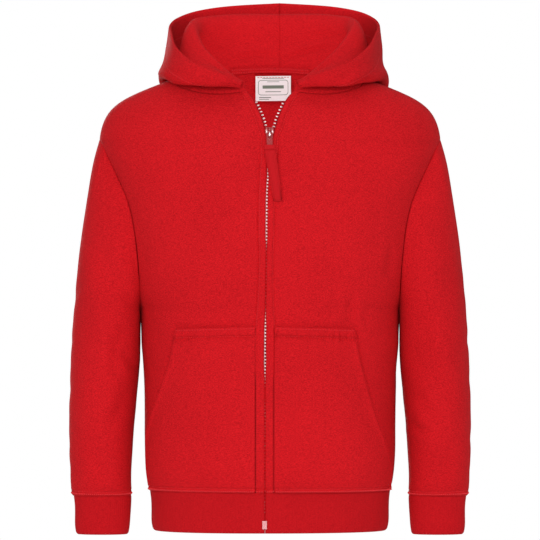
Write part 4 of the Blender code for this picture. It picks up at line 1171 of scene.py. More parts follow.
def makeSleeve(side):
    piece = fineCloth(sleeveGrid(side), [(0.015, 1.0), (0.955, 2.6), (1.0, 1.1)], [(1.0, 2.0)],
                      closed=True)
    low, along = fromEdge(piece, "bottom"), acrossRows(piece)
    lift = seamLift(fromEdge(piece, "top"), along, 23 + side, share=0.6)
    lift += rolled(piece, bottom=rolls["seam"])
    lift += 0.12 * unevenWave(along, 7.0, 29 + side) * np.exp(-low / 6.0) * smoothStep(low, 0, 2.0)
    front = smoothStep(-piece["base"][:, :, 1], -6, 14)
    lift += creaseLift(flatOf(piece), sleeveCreases[side]) * front
    lift += creaseLift(flatOf(piece), sleeveBackCreases[side]) * (1 - front)
    outwards = smoothStep(side * piece["normals"][:, :, 0], 0.55, 0.9)
    lift += 0.3 * creaseLift(piece["base"][:, :, 1:], sleeveSideCreases[side]) * outwards
    shapeBy(piece, lift)
    shell("fleece_sleeve_" + sideNames[side], piece, cloth["fleece"], fleece, "fleece",
          "sleeve_" + sideNames[side], (0.29, 0.41), area=0.086,
          rests_on=["fleece_front_" + sideNames[side], "fleece_back"])
    return piece


ribKnit = {"pitch": 2.4, "height": 0.38, "seamRoll": (2.2, 0.2), "foldRoll": (2.6, 1.3), "swell": 0.35,
           "swellPitch": 60.0}


def ribLift(piece, pitch):
    low, high, along = fromEdge(piece, "bottom"), fromEdge(piece, "top"), acrossRows(piece)
    seam, fold = (low, high) if piece["base"][0, 0, 2] > piece["base"][-1, 0, 2] else (high, low)
    lift = ribProfile(along, pitch, ribKnit["height"]) * (0.35 + 0.65 * smoothStep(seam, 0, 6))
    lift += edgeRoll(seam, *ribKnit["seamRoll"]) + edgeRoll(fold, *ribKnit["foldRoll"])
    return lift + unevenWave(along, ribKnit["swellPitch"], 5) * ridge(seam, ribKnit["swell"], 22, 16)


def makeCuff(side):
    piece = fineCloth(cuffGrid(side), [(0.08, 0.9), (0.92, 2.4), (1.0, 0.9)], [(1.0, 0.52)],
                      closed=True)
    total = piece["columns"][-1]
    shapeBy(piece, ribLift(piece, total / round(total / ribKnit["pitch"])))
    shell("rib_cuff_" + sideNames[side], piece, cloth["rib"], rib, "rib", "cuff_" + sideNames[side],
          (0.165, 0.045), rests_on=["fleece_sleeve_" + sideNames[side]])


def makeHem():
    heights = [hemSeamHeight - cloth["seamGap"] / 2, -456, -474, -487, hemBottomHeight]
    piece = fineCloth(hemGrid(heights, 76), [(0.08, 0.9), (0.92, 2.5), (1.0, 0.9)], [(1.0, 0.56)])
    ends = {1: "first", -1: "last"}
    lift = ribLift(piece, ribKnit["pitch"])
    shapeBy(piece, lift + rolled(piece, first=rolls["placket"], last=rolls["placket"]))
    for side, edge in ends.items():
        lapTeeth(piece, edge, side, -470)
    shell("rib_hem", piece, cloth["rib"], rib, "rib", "hem_band", (0.745, 0.045),
          rests_on=["fleece_back", "fleece_front_left", "fleece_front_right"])


sleeves = {side: makeSleeve(side) for side in (1, -1)}
for side in (1, -1):
    makeCuff(side)
makeHem()
print("sleeves and ribs made")


# Pockets
pocketSewing = {"topHem": 10.2, "band": 0.9, "hemGroove": (-1.5, 10.2, 1.2), "topGroove": (-0.4, 2.0, 0.8),
                "gathers": 1.9, "gathersPitch": 3.8, "onHem": (0.5, 7.5, 2.6), "below": (0.6, 12.5, 3.2),
                "mouth": (0.5, 3.0, 2.6), "mouthSwell": (1.5, 0.0, 8.0), "fullness": 1.1,
                "rolls": {"top": (1.4, 1.0), "first": (1.6, 0.6), "last": (1.2, 0.5)}}


def makePocket(side):
    piece = fineCloth(pocketGrid(side, 10), [(0.06, 0.9), (0.9, 2.6), (1.0, 0.8)],
                      [(0.03, 0.9), (0.78, 2.0), (1.0, 1.0)])
    top, low, inner, outer = (fromEdge(piece, edge) for edge in ("top", "bottom", "first", "last"))
    form, hem = pocketSewing, pocketSewing["topHem"]
    lift = rolled(piece, **form["rolls"]) + form["band"] * (1 - smoothStep(top, hem - 1.5, hem + 0.5))
    lift += ridge(top, *form["hemGroove"]) + ridge(top, *form["topGroove"])
    wave = form["gathers"] * unevenWave(acrossRows(piece), form["gathersPitch"], 41 + side)
    lift += wave * (ridge(top, *form["onHem"]) + ridge(top, *form["below"]))
    full = smoothStep(inner, 4, 50) * smoothStep(outer, 6, 40)
    lift += form["fullness"] * full * smoothStep(top, 12, 60) * smoothStep(low, 10, 60)
    height = piece["base"][:, :, 2]
    slanted = smoothStep(height, -405, -380) * (1 - smoothStep(height, -280, -270))
    lift += ridge(outer, *form["mouth"]) + slanted * ridge(outer, *form["mouthSwell"])
    lift += hemLift(piece, 47 + side)
    shapeBy(piece, lift)
    shell("fleece_pocket_" + sideNames[side], piece, pocketForm["wall"], fleece, "fleece",
          "pocket_" + sideNames[side], (0.15, 0.185), area=0.0245,
          rests_on=["fleece_front_" + sideNames[side]])
    return piece


pockets = {side: makePocket(side) for side in (1, -1)}
print("pockets made")


# Hood
hoodSewing = {"rimHem": 24.0, "groove": 0.4, "puckers": 0.18,
              "rolls": {"last": (2.6, 1.3), "top": (2.6, 0.8)}}
liningFolds = [
    (((-52, 28), (-28, 34), (-6, 36), (18, 32)), 3.4, 2.6), (((12, 30), (41, 40), (69, 46)), 2.8, 3.2),
    (((36, 50), (58, 57), (80, 56)), 5.0, 1.6), (((-76, 44), (-58, 38), (-38, 42)), 5.0, 1.6)]
hoodBackFolds = {
    1: [(((96, 60), (70, 12), (34, -42)), 10.0, 2.6), (((106, 20), (84, -16), (60, -40)), 8.0, 2.0),
        (((30, 70), (24, 20), (20, -30)), 14.0, 1.8), (((62, 84), (54, 50), (58, 16)), 9.0, 1.5)],
    -1: [(((-92, 66), (-64, 18), (-26, -34)), 10.0, 2.7), (((-104, 30), (-82, -6), (-52, -34)), 8.0, 2.1),
         (((-20, 74), (-14, 34), (-12, -16)), 13.0, 1.6), (((-58, 86), (-50, 56), (-46, 22)), 9.0, 1.6)],
}
hoodFolds = {
    1: [(((58, -4), (80, 6), (96, 22)), 4.5, 2.4), (((56, 2), (82, 20), (104, 42)), 4.0, 1.6),
        (((92, -4), (108, 4), (120, 14)), 5.0, 2.0), (((84, 26), (100, 36), (112, 52)), 5.0, 1.3)],
    -1: [(((-84, 6), (-98, 9), (-114, 8)), 5.0, 1.6), (((-60, 10), (-84, 30), (-96, 50)), 6.0, 1.5),
         (((-40, 2), (-56, 6), (-72, 5)), 4.5, 1.0)],
}


def relaxed(points, rows, reach, times):
    # Smooths the tight bends across the cloth near its first row, fading over reach
    share = (1 - smoothStep(rows, 0, reach))[:, None, None] * 0.5
    for _ in range(times):
        middle = (points[:, :-2] + points[:, 2:]) / 2
        points = points.copy()
        points[:, 1:-1] += (middle - points[:, 1:-1]) * share
    return points


def offsetCloth(piece, amount):
    # The same grid moved off its middle surface, for the outer cloth and the lining
    normals = piece["normals"].copy()
    normals[-1, :, 0] = 0.0
    points = relaxed(piece["base"] + unit(normals) * amount, piece["rows"], 30.0, 14)
    moved = {**piece, "points": points, "base": points.copy()}
    moved["flip"] *= math.copysign(1, amount)
    moved["normals"] = normalsOf(points, False) * moved["flip"]
    return moved


def makeHood(side):
    name = sideNames[side]

    def outwards(grid, normals):
        return np.dot(normals[grid.shape[0] // 2, -4], guideOut(0.46, "fold", side))
    middle = fineCloth(hoodGrid(side), [(0.99, 2.4), (1.0, 0.9)], [(0.02, 1.2), (0.97, 2.1), (1.0, 0.8)],
                       probe=outwards)
    if side > 0:
        # The wearer's left edge hangs straighter above its lower corner
        x, z = middle["base"][:, :, 0], middle["base"][:, :, 2]
        middle["base"][:, :, 0] -= 2.8 * bell(z - 22, 15) * smoothStep(x, 108, 124)
    made = {"hood": offsetCloth(middle, hoodThick / 2), "lining": offsetCloth(middle, -hoodThick / 2)}
    for kind, piece in made.items():
        flat, y = flatOf(piece), piece["base"][:, :, 1]
        fromHem = fromEdge(piece, "last") - hoodSewing["rimHem"]
        lift = rolled(piece, **hoodSewing["rolls"]) - hoodSewing["groove"] * bell(fromHem, 1.0)
        wave = unevenWave(alongRows(piece), 6.0, 53 + side)
        lift += hoodSewing["puckers"] * wave * bell(fromHem, 4.0)
        if kind == "hood":
            outside = smoothStep(fromEdge(piece, "first"), 60, 90) * smoothStep(-y, -30, 10)
            lift += creaseLift(flat, hoodBackFolds[side]) * smoothStep(y, 30, 60)
            lift += creaseLift(flat, hoodFolds[side]) * outside
            look = ("fleece_hood_" + name, cloth["hood"], fleece, "fleece", "hood_" + name,
                    ["fleece_back", "fleece_front_" + name])
        else:
            lift += creaseLift(flat, liningFolds) * smoothStep(y, 10, 40)
            look = ("hood_inside_" + name, cloth["lining"], lining, "hood_lining",
                    "hood_lining_" + name, ["fleece_hood_" + name])
        shapeBy(piece, lift)
        title, wall, material, slot, node, rests = look
        shell(title, piece, wall, material, slot, node, (0.27, 0.33), area=0.078, rests_on=rests)
    return made


hoods = {side: makeHood(side) for side in (1, -1)}
print("hood made")


# Sewing
def lineAt(piece, edge, gap, start=0.0, end=1.0):
    # Points and normals along the cloth at a distance from an edge, between shares of its length
    gaps = fromEdge(piece, edge)
    upright = edge in ("first", "last")
    along, across = (piece["rows"], piece["columns"]) if upright else (piece["columns"], piece["rows"])
    gaps = gaps if upright else gaps.T
    along = along[:len(gaps)]
    order = 1 if edge in ("first", "bottom") else -1
    wanted = np.broadcast_to(gap, len(gaps))
    found = [np.interp(w, g[::order], across[::order]) for w, g in zip(wanted, gaps)]
    keep = along[(along >= start * along[-1]) & (along <= end * along[-1])]
    places = (keep, np.interp(keep, along, found))
    return onCloth(piece, *(places if upright else places[::-1]))


def sewnRow(piece, edge, gap, start=0.0, end=1.0):
    return stitches(*lineAt(piece, edge, gap, start, end))


def coverRow(piece, edge, start=0.0, end=1.0):
    # Close leaning stitches along the seam's ridge
    points, normals = lineAt(piece, edge, seamForm["ridge"][1], start, end)
    return stitches(points, normals, pitch=2.3, lean=2.4, thick=0.4)


dipAt, topHem, rimHem = seamForm["dip"][1], pocketSewing["topHem"], hoodSewing["rimHem"]
ridgeRows = []
for side, name in sideNames.items():
    front, pocket, sleeve, hood = fronts[side], pockets[side], sleeves[side], hoods[side]
    sewOn("stitches_front_" + name, [
        sewnRow(front, "first", weltWidth(front["base"][:, 0, 2]), 0.0, 0.985),
        sewnRow(front, "bottom", dipAt, 0.93, 0.99)], thread)
    sewOn("stitches_pocket_" + name, [
        sewnRow(pocket, "top", 2.0, 0.01, 0.99), sewnRow(pocket, "top", topHem, 0.01, 0.99),
        sewnRow(pocket, "bottom", dipAt, 0.005, 0.99)], thread)
    sewOn("stitches_sleeve_" + name, [sewnRow(sleeve, "top", dipAt)], thread)
    ridgeRows += [coverRow(front, "bottom", 0.008, 0.05), coverRow(front, "bottom", 0.93, 0.99),
                  coverRow(pocket, "bottom", 0.005, 0.99), coverRow(sleeve, "top")]
    sewOn("stitches_hood_" + name, [sewnRow(hood["hood"], "last", rimHem, 0.03)], thread)
    sewOn("stitches_lining_" + name, [sewnRow(hood["lining"], "last", rimHem, 0.03)], thread,
          slot="hood_lining")
sewOn("stitches_back", [sewnRow(backPanel, "bottom", dipAt, 0.004, 0.996)], thread)
ridgeRows.append(coverRow(backPanel, "bottom", 0.004, 0.996))
sewOn("stitches_seam_cover", ridgeRows, ridgeThread)
print("sewing made")


# Zip
zipSizes = {"tapeWidth": 12.0, "chainHalf": 1.6, "tapeLap": 2.2, "pitch": 3.63, "toothWidth": 1.9,
            "toothDepth": 1.9, "onTape": 1.0, "lead": 1.9, "sunk": 3.4, "firstTooth": -472.0,
            "lastClosed": -69.0, "firstOpen": -49.5, "lastOpen": -20.0, "openReach": 0.72,
            "hiddenReach": 0.76, "openWidth": 1.35, "square": 0.55, "cord": (0.3, 1.0, 0.9),
            "cordGroove": (-0.15, 2.6, 0.5)}
tapeDepth = cloth["rib"] + 1.1


def zipPoint(across, height, depth):
    # Point near the zip: across from its middle, depth behind the cloth's face
    point = bodyPoint(across, height)
    point = point - bodyNormal(point) * depth
    point[0] += zipCentre(height)
    return point


def zipInner(height):
    closed = zipSizes["chainHalf"] + 0.35
    return max(closed, edgeAcross(height) - zipSizes["tapeLap"])


# Outline of a tooth from its foot on the tape to its head: distance, half width, half depth
toothRings = [(0.0, 0.55, 0.55), (0.25, 0.9, 0.95), (1.3, 0.9, 1.0), (1.75, 0.62, 0.9),
              (2.3, 0.95, 0.95), (3.1, 1.05, 0.9), (3.5, 0.7, 0.5)]
toothSides = 8


def toothAt(height, side):
    def foot(at):
        deep = tapeDepth - zipSizes["lead"] - (0.6 if side > 0 and at < zipSizes["lastClosed"] else 0)
        deep += zipSizes["sunk"] * (1 - opened(at))
        return zipPoint(side * (zipInner(at) + zipSizes["onTape"]), at, deep)
    base = foot(height)
    up = unit(foot(height + 1.2) - foot(height - 1.2))
    out = bodyNormal(zipPoint(0.0, height, 0.0))
    out = unit(out - up * np.dot(out, up))
    into = unit(np.cross(up, out))
    if into[0] * side > 0:
        into = -into
    closed = height < zipSizes["lastClosed"]
    halfWidth = zipSizes["toothWidth" if closed else "openWidth"] / 2
    halfDepth, reach = zipSizes["toothDepth"] / 2, zipSizes["openReach"]
    if closed:
        reach = 1.0 if side > 0 else zipSizes["hiddenReach"]
    points = []
    for along, wide, deep in toothRings:
        for k in range(toothSides):
            turn = 2 * math.pi * (k + 0.5) / toothSides
            a = blunt(math.cos(turn), zipSizes["square"]) * halfWidth * wide
            b = blunt(math.sin(turn), zipSizes["square"]) * halfDepth * deep
            points.append(base + into * along * reach + up * a + out * b)
    faces = tubeFaces(len(toothRings), toothSides)
    if np.dot(np.cross(up, out), into) < 0:
        faces = [face[::-1] for face in faces]
    return np.array(points), faces


def makeTeeth():
    pitch = zipSizes["pitch"]
    runs = {"zip_chain": [], "zip_teeth_left": [], "zip_teeth_right": []}
    for side, name in sideNames.items():
        height = zipSizes["firstTooth"] + (pitch / 2 if side > 0 else 0)
        while height < zipSizes["lastOpen"]:
            if height < zipSizes["lastClosed"]:
                runs["zip_chain"].append(toothAt(height, side))
                height += pitch
            else:
                if height > zipSizes["firstOpen"]:
                    runs["zip_teeth_" + name].append(toothAt(height, side))
                slope = (edgeAcross(height + 1) - edgeAcross(height - 1)) / 2
                height += 1.08 * pitch / math.hypot(1, slope)
    for title, (node, run) in zip(("zip_chain_teeth", "zip_open_teeth_left", "zip_open_teeth_right"),
                                  runs.items()):
        teeth = makePiece(title, *joined(run), glintPaintedTeeth, "zip_teeth", sharp=60)
        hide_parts(node)


makeTeeth()


def makeTapes():
    bottom, top = -489, zipTopHeight - 2.5
    stops = np.arange(5) / 4 * zipSizes["tapeWidth"]
    for side, name in sideNames.items():
        rows = [[zipPoint(side * (zipInner(height) + stop), height, tapeDepth) for stop in stops]
                for height in np.linspace(bottom, top, 201)]
        piece = fineCloth(np.array(rows), [(1.0, 2.4)], [(0.2, 0.5), (1.0, 1.6)],
                          probe=lambda grid, normals: -normals[5, 5, 1])
        inner = fromEdge(piece, "first")
        shapeBy(piece, ridge(inner, *zipSizes["cord"]) + ridge(inner, *zipSizes["cordGroove"]))
        shell("zip_tape_woven_" + name, piece, 0.7, zipTape, "zip_tape", "zip_tape_" + name,
              (0.012, 0.482), rests_on=["fleece_front_" + name])


makeTapes()


# The outline and the wedge are half widths at distances up the zip, seen from the front. The shoulder
# is its place across and up, then its three radii; the crown is its middle, reach and height, and
# its eye is seen from the side
sliderForm = {"height": -62.0, "plateBack": 0.6, "plateWall": 1.6, "backPlate": -5.5,
              "outline": [(2.9, -3.0), (3.4, -2.4), (3.6, 2.0), (4.1, 5.0), (4.3, 8.0), (4.25, 9.8),
                          (3.7, 11.0), (2.6, 11.8), (1.5, 12.0)],
              "wedge": [(0.66, 4.0), (1.1, 7.5), (1.1, 11.4)],
              "shoulder": (3.1, 8.4, 1.75, 3.9, 1.3), "crown": (4.9, 5.0, 3.5), "crownHalf": 1.05,
              "eye": [(1.6, 0.3), (1.6, 2.65), (2.6, 2.75), (6.6, 2.75), (7.6, 2.65), (7.6, 0.3)],
              "lean": 0.14}


def sliderFrame():
    # The slider's place and its directions: across, up along the zip and out of the chest
    height, reach = sliderForm["height"], 8.0
    up = zipPoint(0.0, height + reach, 0.0) - zipPoint(0.0, height - reach, 0.0)
    up[0] = 0.0
    up, across = unit(up), np.array([1.0, 0.0, 0.0])
    return zipPoint(0.0, height, 0.0), across, up, unit(np.cross(across, up))


def placed(axes, local):
    origin, across, up, out = axes
    return np.array([origin + across * u + up * v + out * w for u, v, w in local])


def facingOut(points, faces):
    # Turns every face round if the closed mesh is inside out
    volume = 0.0
    for face in faces:
        for i in range(1, len(face) - 1):
            a, b, c = points[face[0]], points[face[i]], points[face[i + 1]]
            volume += np.dot(a - points[0], np.cross(b - points[0], c - points[0]))
    return points, [face[::-1] for face in faces] if volume < 0 else faces


def prism(axes, loop, low, high, toPoint):
    # Solid between two copies of a flat loop
    count = len(loop)
    local = [toPoint(a, b, level) for level in (low, high) for a, b in loop]
    faces = [tuple(range(count)), tuple(range(2 * count - 1, count - 1, -1))]
    faces += [(i, i + count, (i + 1) % count + count, (i + 1) % count) for i in range(count)]
    return facingOut(placed(axes, local), faces)


def softEdges(piece, width, segments=3):
    bevel = piece.modifiers.new("rounding", "BEVEL")
    bevel.width = width * metresPerMm
    bevel.segments = segments
    bevel.limit_method = "ANGLE"
    bevel.angle_limit = math.radians(38)
    bevel.use_clamp_overlap = True


def shoulder(axes, middle, radii):
    # Swelling of the front plate over one leg of the open zip, blunt on top and leaning forward
    rings, sides = 10, 16
    tip = np.array([0.0, radii[1], sliderForm["lean"] * radii[1]])
    local = [middle - tip]
    for r in range(1, rings):
        polar = math.pi * r / rings
        along, size = -radii[1] * blunt(math.cos(polar)), blunt(math.sin(polar))
        for k in range(sides):
            turn = 2 * math.pi * k / sides
            local.append(middle + (radii[0] * size * blunt(math.cos(turn)), along,
                                   radii[2] * size * blunt(math.sin(turn)) + sliderForm["lean"] * along))
    local.append(middle + tip)
    last = len(local) - 1
    faces = [(0, 1 + (k + 1) % sides, 1 + k) for k in range(sides)]
    faces += gridFaces(rings - 1, sides, True, 1)
    faces += [(last, last - sides + k, last - sides + (k + 1) % sides) for k in range(sides)]
    return facingOut(placed(axes, local), faces)


def makeSlider():
    axes = sliderFrame()
    front, wall, behind = (sliderForm[name] for name in ("plateBack", "plateWall", "backPlate"))
    parts = []
    for name, low, high in (("outline", front, front + wall), ("outline", behind - wall, behind),
                            ("wedge", behind - 0.4, front + 0.4)):
        halves = sliderForm[name]
        loop = halves + [(-half, v) for half, v in reversed(halves)]
        parts.append(prism(axes, loop, low, high, lambda a, b, w: (a, b, w)))
    across, along, *radii = sliderForm["shoulder"]
    for side in (1, -1):
        parts.append(shoulder(axes, np.array([side * across, along, front + wall - 0.1]), radii))
    body = makePiece("zip_slider_body", *joined(parts), paintGloss, "zip_slider", sharp=40)
    softEdges(body, 0.45)
    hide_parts("zip_slider")


def makeCrown():
    # Arched bridge over the pull tab's eye, on the front plate
    front = sliderForm["plateBack"] + sliderForm["plateWall"]
    middle, reach, tall = sliderForm["crown"]
    arch = []
    for k in range(17):
        turn = math.pi * k / 16
        along = reach * blunt(math.cos(turn), 0.7)
        rise = (tall - 0.3) * abs(math.sin(turn)) ** 0.5
        arch.append((middle + along, 0.3 + rise * (1 + sliderForm["lean"] * along / tall)))
    half = sliderForm["crownHalf"]
    solid = prism(sliderFrame(), arch + sliderForm["eye"], -half, half, lambda a, b, u: (u, a, front + b))
    crown = makePiece("zip_slider_crown", *solid, paintGloss, "zip_slider", sharp=35)
    softEdges(crown, 0.35)
    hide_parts("zip_bridge")


makeSlider()
makeCrown()
for name, slotName, width, gloss in (("pull_tab", "zip_slider", 0.3, paintGloss),
                                     ("zip_box", "zip_teeth", 0.5, glintPaintedBox)):
    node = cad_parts[name]
    node.data.materials.clear()
    node.data.materials.append(gloss)
    softEdges(node, width)

pullForm = {"length": 67.5, "width": 11.9, "taper": 0.32, "lean": math.radians(8.5), "clear": 1.6,
            "layer": 0.9, "tabWall": 1.2, "tabLength": 17.0, "half": 1.1, "pivotUp": 4.4,
            "pivotLift": 1.75, "line": 0.75, "lineIn": 1.7, "middleRise": 0.35, "edgeRise": 0.6}


def forkedTape(mouth, root, end):
    # Side view of the tape with the slit that holds the tab: off its middle, up from the pivot
    slit, half = pullForm["tabWall"] / 2 + 0.3, pullForm["half"]
    outer = slit + pullForm["layer"]
    stops = list(np.linspace(root - 4, end + 5, 30)) + list(np.linspace(end + 4.5, end, 10))
    groove = [(half + 0.3, root - 2.6), (0.3, root - 2.3), (0.3, root - 1.0), (outer, root - 0.7)]
    leg = [(outer, v) for v in np.linspace(root, mouth - 2, 3)]
    fork = [(slit, mouth), (slit, root), (-slit, root), (-slit, mouth), (-outer, mouth)]
    fork += [(-w, v) for w, v in reversed(leg)] + [(-half, v) for v in stops]
    return fork + [(half, v) for v in reversed(stops)] + groove + leg + [(outer, mouth)]


def tapeRelief(inside, below):
    # A raised line between two fine grooves follows the edges and the end, below the tab
    relief = pullForm["line"] * bell(inside - pullForm["lineIn"], 0.6)
    relief -= pullForm["middleRise"] * smoothStep(inside, 2.2, 3.0)
    relief -= pullForm["edgeRise"] * (1 - smoothStep(inside, 0.0, 1.2))
    return abs(relief) * smoothStep(below, 3, 6)


def hungPoint(axes, flat, low, end):
    # A point of the straight tape once it is tapered, swung aside and laid on the chest
    u, v, w = flat
    below = max(low - v, 0.0)
    width = 1.0 - pullForm["taper"] * min(below / pullForm["length"], 1.0) ** 2
    width -= 0.1 * (1 - smoothStep(below, 0, 14)) + 0.22 * (1 - smoothStep(v - end, 0, 2.5)) ** 2
    aside, risen = below * math.sin(pullForm["lean"]), below * (1 - math.cos(pullForm["lean"]))
    place = placed(axes, [(u * width + aside, v + risen, w)])[0]
    wave = 0.35 * math.sin(below / 15.0) * smoothStep(below, 4, 20)
    chest = bodyPoint(place[0], place[2])
    lift = pullForm["clear"] + pullForm["half"] + w + wave
    rest = np.array([place[0], chest[1] - lift / max(-bodyNormal(chest)[1], 0.5), place[2]])
    return place + (rest - place) * min(max((low - 1.0 - v) / 14.0, 0.0), 1.0)


def makePullTape():
    origin, across, up, out = sliderFrame()
    lift = sliderForm["plateBack"] + sliderForm["plateWall"] + pullForm["pivotLift"]
    axes = (origin + up * pullForm["pivotUp"] + out * lift, across, up, out)
    low, half = -pullForm["tabLength"], pullForm["width"] / 2
    mouth, root, end = low + 3.5, low - 0.8, low + 6.0 - pullForm["length"]
    fork = forkedTape(mouth, root, end)
    shares = (1.0, 0.95, 0.9, 0.85, 0.8, 0.76, 0.72, 0.68, 0.63, 0.58, 0.5, 0.25)
    shares = (*(-share for share in shares), 0.0, *reversed(shares))
    points = []
    for share in shares:
        for w, v in fork:
            relief = tapeRelief(min((1 - abs(share)) * half, v - end), root - v)
            points.append(hungPoint(axes, (share * half, v, w + math.copysign(relief, w)), low, end))
    count, last = len(fork), (len(shares) - 1) * len(fork)
    faces = []
    for start in range(0, last, count):
        for i in range(count):
            a, b = start + i, start + (i + 1) % count
            faces.append((a, a + count, b + count, b))
    faces += [tuple(range(count)), tuple(range(last + count - 1, last - 1, -1))]
    solid = facingOut(np.array(points), faces)
    tape = makePiece("pull_tape_woven", *solid, pullTape, "fleece", body="puller", sharp=35)
    softEdges(tape, 0.4, 2)
    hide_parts("pull_tape")


makePullTape()
print("zip made")


# Neck trims
stripForm = {"rises": (-1.0, 0.6, 2.3, 3.9, 5.5), "half": 46, "inwards": 1.2, "wall": 0.8,
             "roll": (1.2, 0.5), "sewing": {"pitch": 2.6, "thick": 0.5}}


def stripGrid():
    rows = []
    for rise in stripForm["rises"]:
        line = []
        for across in np.linspace(-stripForm["half"], stripForm["half"], 25):
            z = neckHeight(abs(across), True)
            point = bodyPoint(across, min(z, 16.4), True)
            normal = bodyNormal(point, True)
            normal[2] = 0.0
            base = point - unit(normal) * (hoodThick + stripForm["inwards"])
            base[2] = z + rise
            line.append(base)
        rows.append(line)
    return np.array(rows)


def makeNeckStrip():
    piece = fineCloth(stripGrid(), [(1.0, 0.6)], [(1.0, 1.4)],
                      probe=lambda grid, normals: -normals[3, 30, 1])
    lift = rolled(piece, bottom=stripForm["roll"], top=stripForm["roll"])
    shapeBy(piece, lift + 0.15 * unevenWave(acrossRows(piece), 7, 61))
    shell("neck_strip", piece, stripForm["wall"], fleece, "fleece", "neck_tape", (0.010, 0.094),
          area=0.00062, rests_on=["hood_inside_left"])
    middle = piece["rows"][-1] / 2
    at = np.linspace(1, piece["columns"][-1] - 1, 60)
    runs = []
    for shift, lean in ((-1.5, 0.9), (1.5, -0.9)):
        line = onCloth(piece, np.full_like(at, middle + shift), at)
        runs.append(stitches(*line, lean=lean, **stripForm["sewing"]))
    sewOn("stitches_neck", runs, thread)


# The bars stand where a maker prints words: height, middle and length as shares, and thickness
labelForm = {"width": 39.6, "height": 28.0, "centre": 3.6, "top": 12.2, "wall": 0.6, "inset": 3.2,
             "line": 0.55, "corner": 3.0, "roll": (1.5, 0.3), "inwards": 8.0, "slant": 1.2, "tilt": 0.012,
             "bars": [(0.905, 0.5, 0.62, 0.6), (0.77, 0.5, 0.34, 0.5), (0.56, 0.5, 0.60, 3.6),
                      (0.37, 0.5, 0.44, 0.8), (0.14, 0.27, 0.34, 0.9), (0.07, 0.24, 0.28, 0.6)]}


def printedStrip(piece, path, thick):
    # A flat printed line along a path of (column, row) places on the cloth
    way = unit(np.gradient(path, axis=0))
    side = np.stack([-way[:, 1], way[:, 0]], axis=1) * thick / 2
    rims = []
    for edge in (path + side, path - side):
        place, normal = onCloth(piece, edge[:, 1], edge[:, 0])
        rims.append(place + normal * 0.08)
    n = len(path)
    return np.concatenate(rims), [(i, i + 1, n + i + 1, n + i) for i in range(n - 1)]


def labelBorder(wide, tall):
    # Four rounded corners, joined in a closed path
    corner, inset = labelForm["corner"], labelForm["inset"] + labelForm["corner"]
    left, right, low, high = inset, wide - inset, inset + 3.6, tall - inset - 1.6
    path = []
    for cx, cy, start in ((right, high, 0.0), (left, high, 0.5), (left, low, 1.0), (right, low, 1.5)):
        turns = [math.pi * (start + k / 12) for k in range(7)]
        path += [(cx + corner * math.cos(turn), cy + corner * math.sin(turn), 0.0) for turn in turns]
    return throughPoints(np.array(path + path[:1]), 3)[:, :2]


def labelGrid():
    # The label hangs inside the back neck, slanted, tilted and sagging a little
    rows = []
    for down in np.linspace(1, 0, 8):
        z = labelForm["top"] - labelForm["height"] * down
        y = bodyPoint(labelForm["centre"], 14.0, True)[1] - labelForm["inwards"]
        y -= labelForm["slant"] * down
        line = []
        for share in np.linspace(0, 1, 9):
            across = labelForm["width"] * (share - 0.5)
            sag = 0.5 * math.sin(share * 2.6 + 0.4) * down
            line.append((labelForm["centre"] + across, y + sag, z + labelForm["tilt"] * across))
        rows.append(line)
    return np.array(rows)


def makeLabel():
    piece = fineCloth(labelGrid(), [(1.0, 1.0)], [(1.0, 1.2)],
                      probe=lambda grid, normals: -normals[5, 5, 1])
    shapeBy(piece, rolled(piece, top=labelForm["roll"]))
    shell("label_cloth", piece, labelForm["wall"], labelCloth, "label", "label", (0.0396, 0.028),
          rests_on=["neck_strip"])
    wide, tall = piece["columns"][-1], piece["rows"][-1]
    marks = [printedStrip(piece, labelBorder(wide, tall), labelForm["line"])]
    for height, middle, share, thick in labelForm["bars"]:
        at = np.linspace(middle - share / 2, middle + share / 2, 24) * wide
        path = np.stack([at, np.full_like(at, tall * height)], axis=1)
        marks.append(printedStrip(piece, path, thick))
    sewOn("label_marks", marks, labelPrint, slot="label")
    at = np.linspace(1.5, wide - 1.5, 30)
    line = onCloth(piece, np.full_like(at, tall - 1.6), at)
    sewOn("stitches_label", [stitches(*line)], thread, slot="label")


makeNeckStrip()
makeLabel()
print("neck trims made")


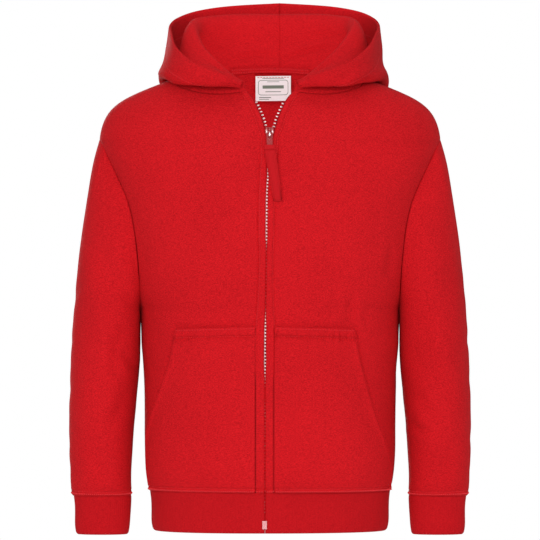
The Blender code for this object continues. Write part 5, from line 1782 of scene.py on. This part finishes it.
# Stage, light and camera
def makeFloor():
    turns = np.linspace(0, 2 * math.pi, 96, endpoint=False)
    mesh = bpy.data.meshes.new("floor")
    mesh.from_pydata([(1.35 * math.cos(turn), 1.35 * math.sin(turn), -0.62) for turn in turns], [],
                     [tuple(range(96))])
    material = newMaterial("paleFloor", {"Base Color": (0.86, 0.86, 0.86, 1), "Roughness": 0.9})[0]
    mesh.materials.append(material)
    addObject("floor", mesh)


def makeLights():
    middle = (0.0, 0.0, -0.2)
    # The last one stands inside the hollow and lights what is seen through the open neck
    for name, place, aimedAt, size, power in (
            ("frontLight", (-0.2, -3.8, 0.75), middle, 0.8, 33.0),
            ("levelLight", (0.15, -3.9, -0.15), middle, 0.5, 8.0),
            ("keyLight", (-1.7, -3.2, 0.5), middle, 2.0, 24.0),
            ("fillLight", (1.9, -3.1, 0.1), middle, 2.0, 17.0),
            ("topLight", (0.0, -0.4, 2.6), middle, 2.0, 9.0),
            ("backLight", (-0.9, 3.3, 0.3), middle, 1.6, 66.0),
            ("innerLight", (0.0, -0.055, -0.13), (0.0, 0.065, -0.035), 0.09, 0.11)):
        data = bpy.data.lights.new(name, "AREA")
        data.shape = "DISK"
        data.size = size
        data.energy = power
        light = addObject(name, data)
        light.location = place
        light.visible_camera = False
        aim = mathutils.Vector(aimedAt) - mathutils.Vector(place)
        light.rotation_euler = aim.to_track_quat("-Z", "Y").to_euler()


def makeSky():
    # White behind the object, softer where it lights the cloth
    world = bpy.data.worlds.new("studio")
    world.use_nodes = True
    tree = world.node_tree
    rays = tree.nodes.new("ShaderNodeLightPath").outputs
    strength = weighted(tree, rays["Is Camera Ray"], 0.53, rays["Is Glossy Ray"], -0.40)
    plug(tree, tree.nodes["Background"], {"Color": (1, 1, 1, 1),
                                          "Strength": maths(tree, "ADD", strength, 0.47)})
    bpy.context.scene.world = world


def makeCamera():
    data = bpy.data.cameras.new("camera")
    data.lens = 330.0
    data.sensor_width = 36.0
    data.clip_end = 50.0
    camera = addObject("camera", data)
    camera.location = (0.0, -5.495, -0.2055)
    camera.rotation_euler = (math.pi / 2, 0, 0)
    bpy.context.scene.camera = camera
    bpy.context.scene.view_settings.view_transform = "Standard"


makeFloor()
makeLights()
makeSky()
makeCamera()
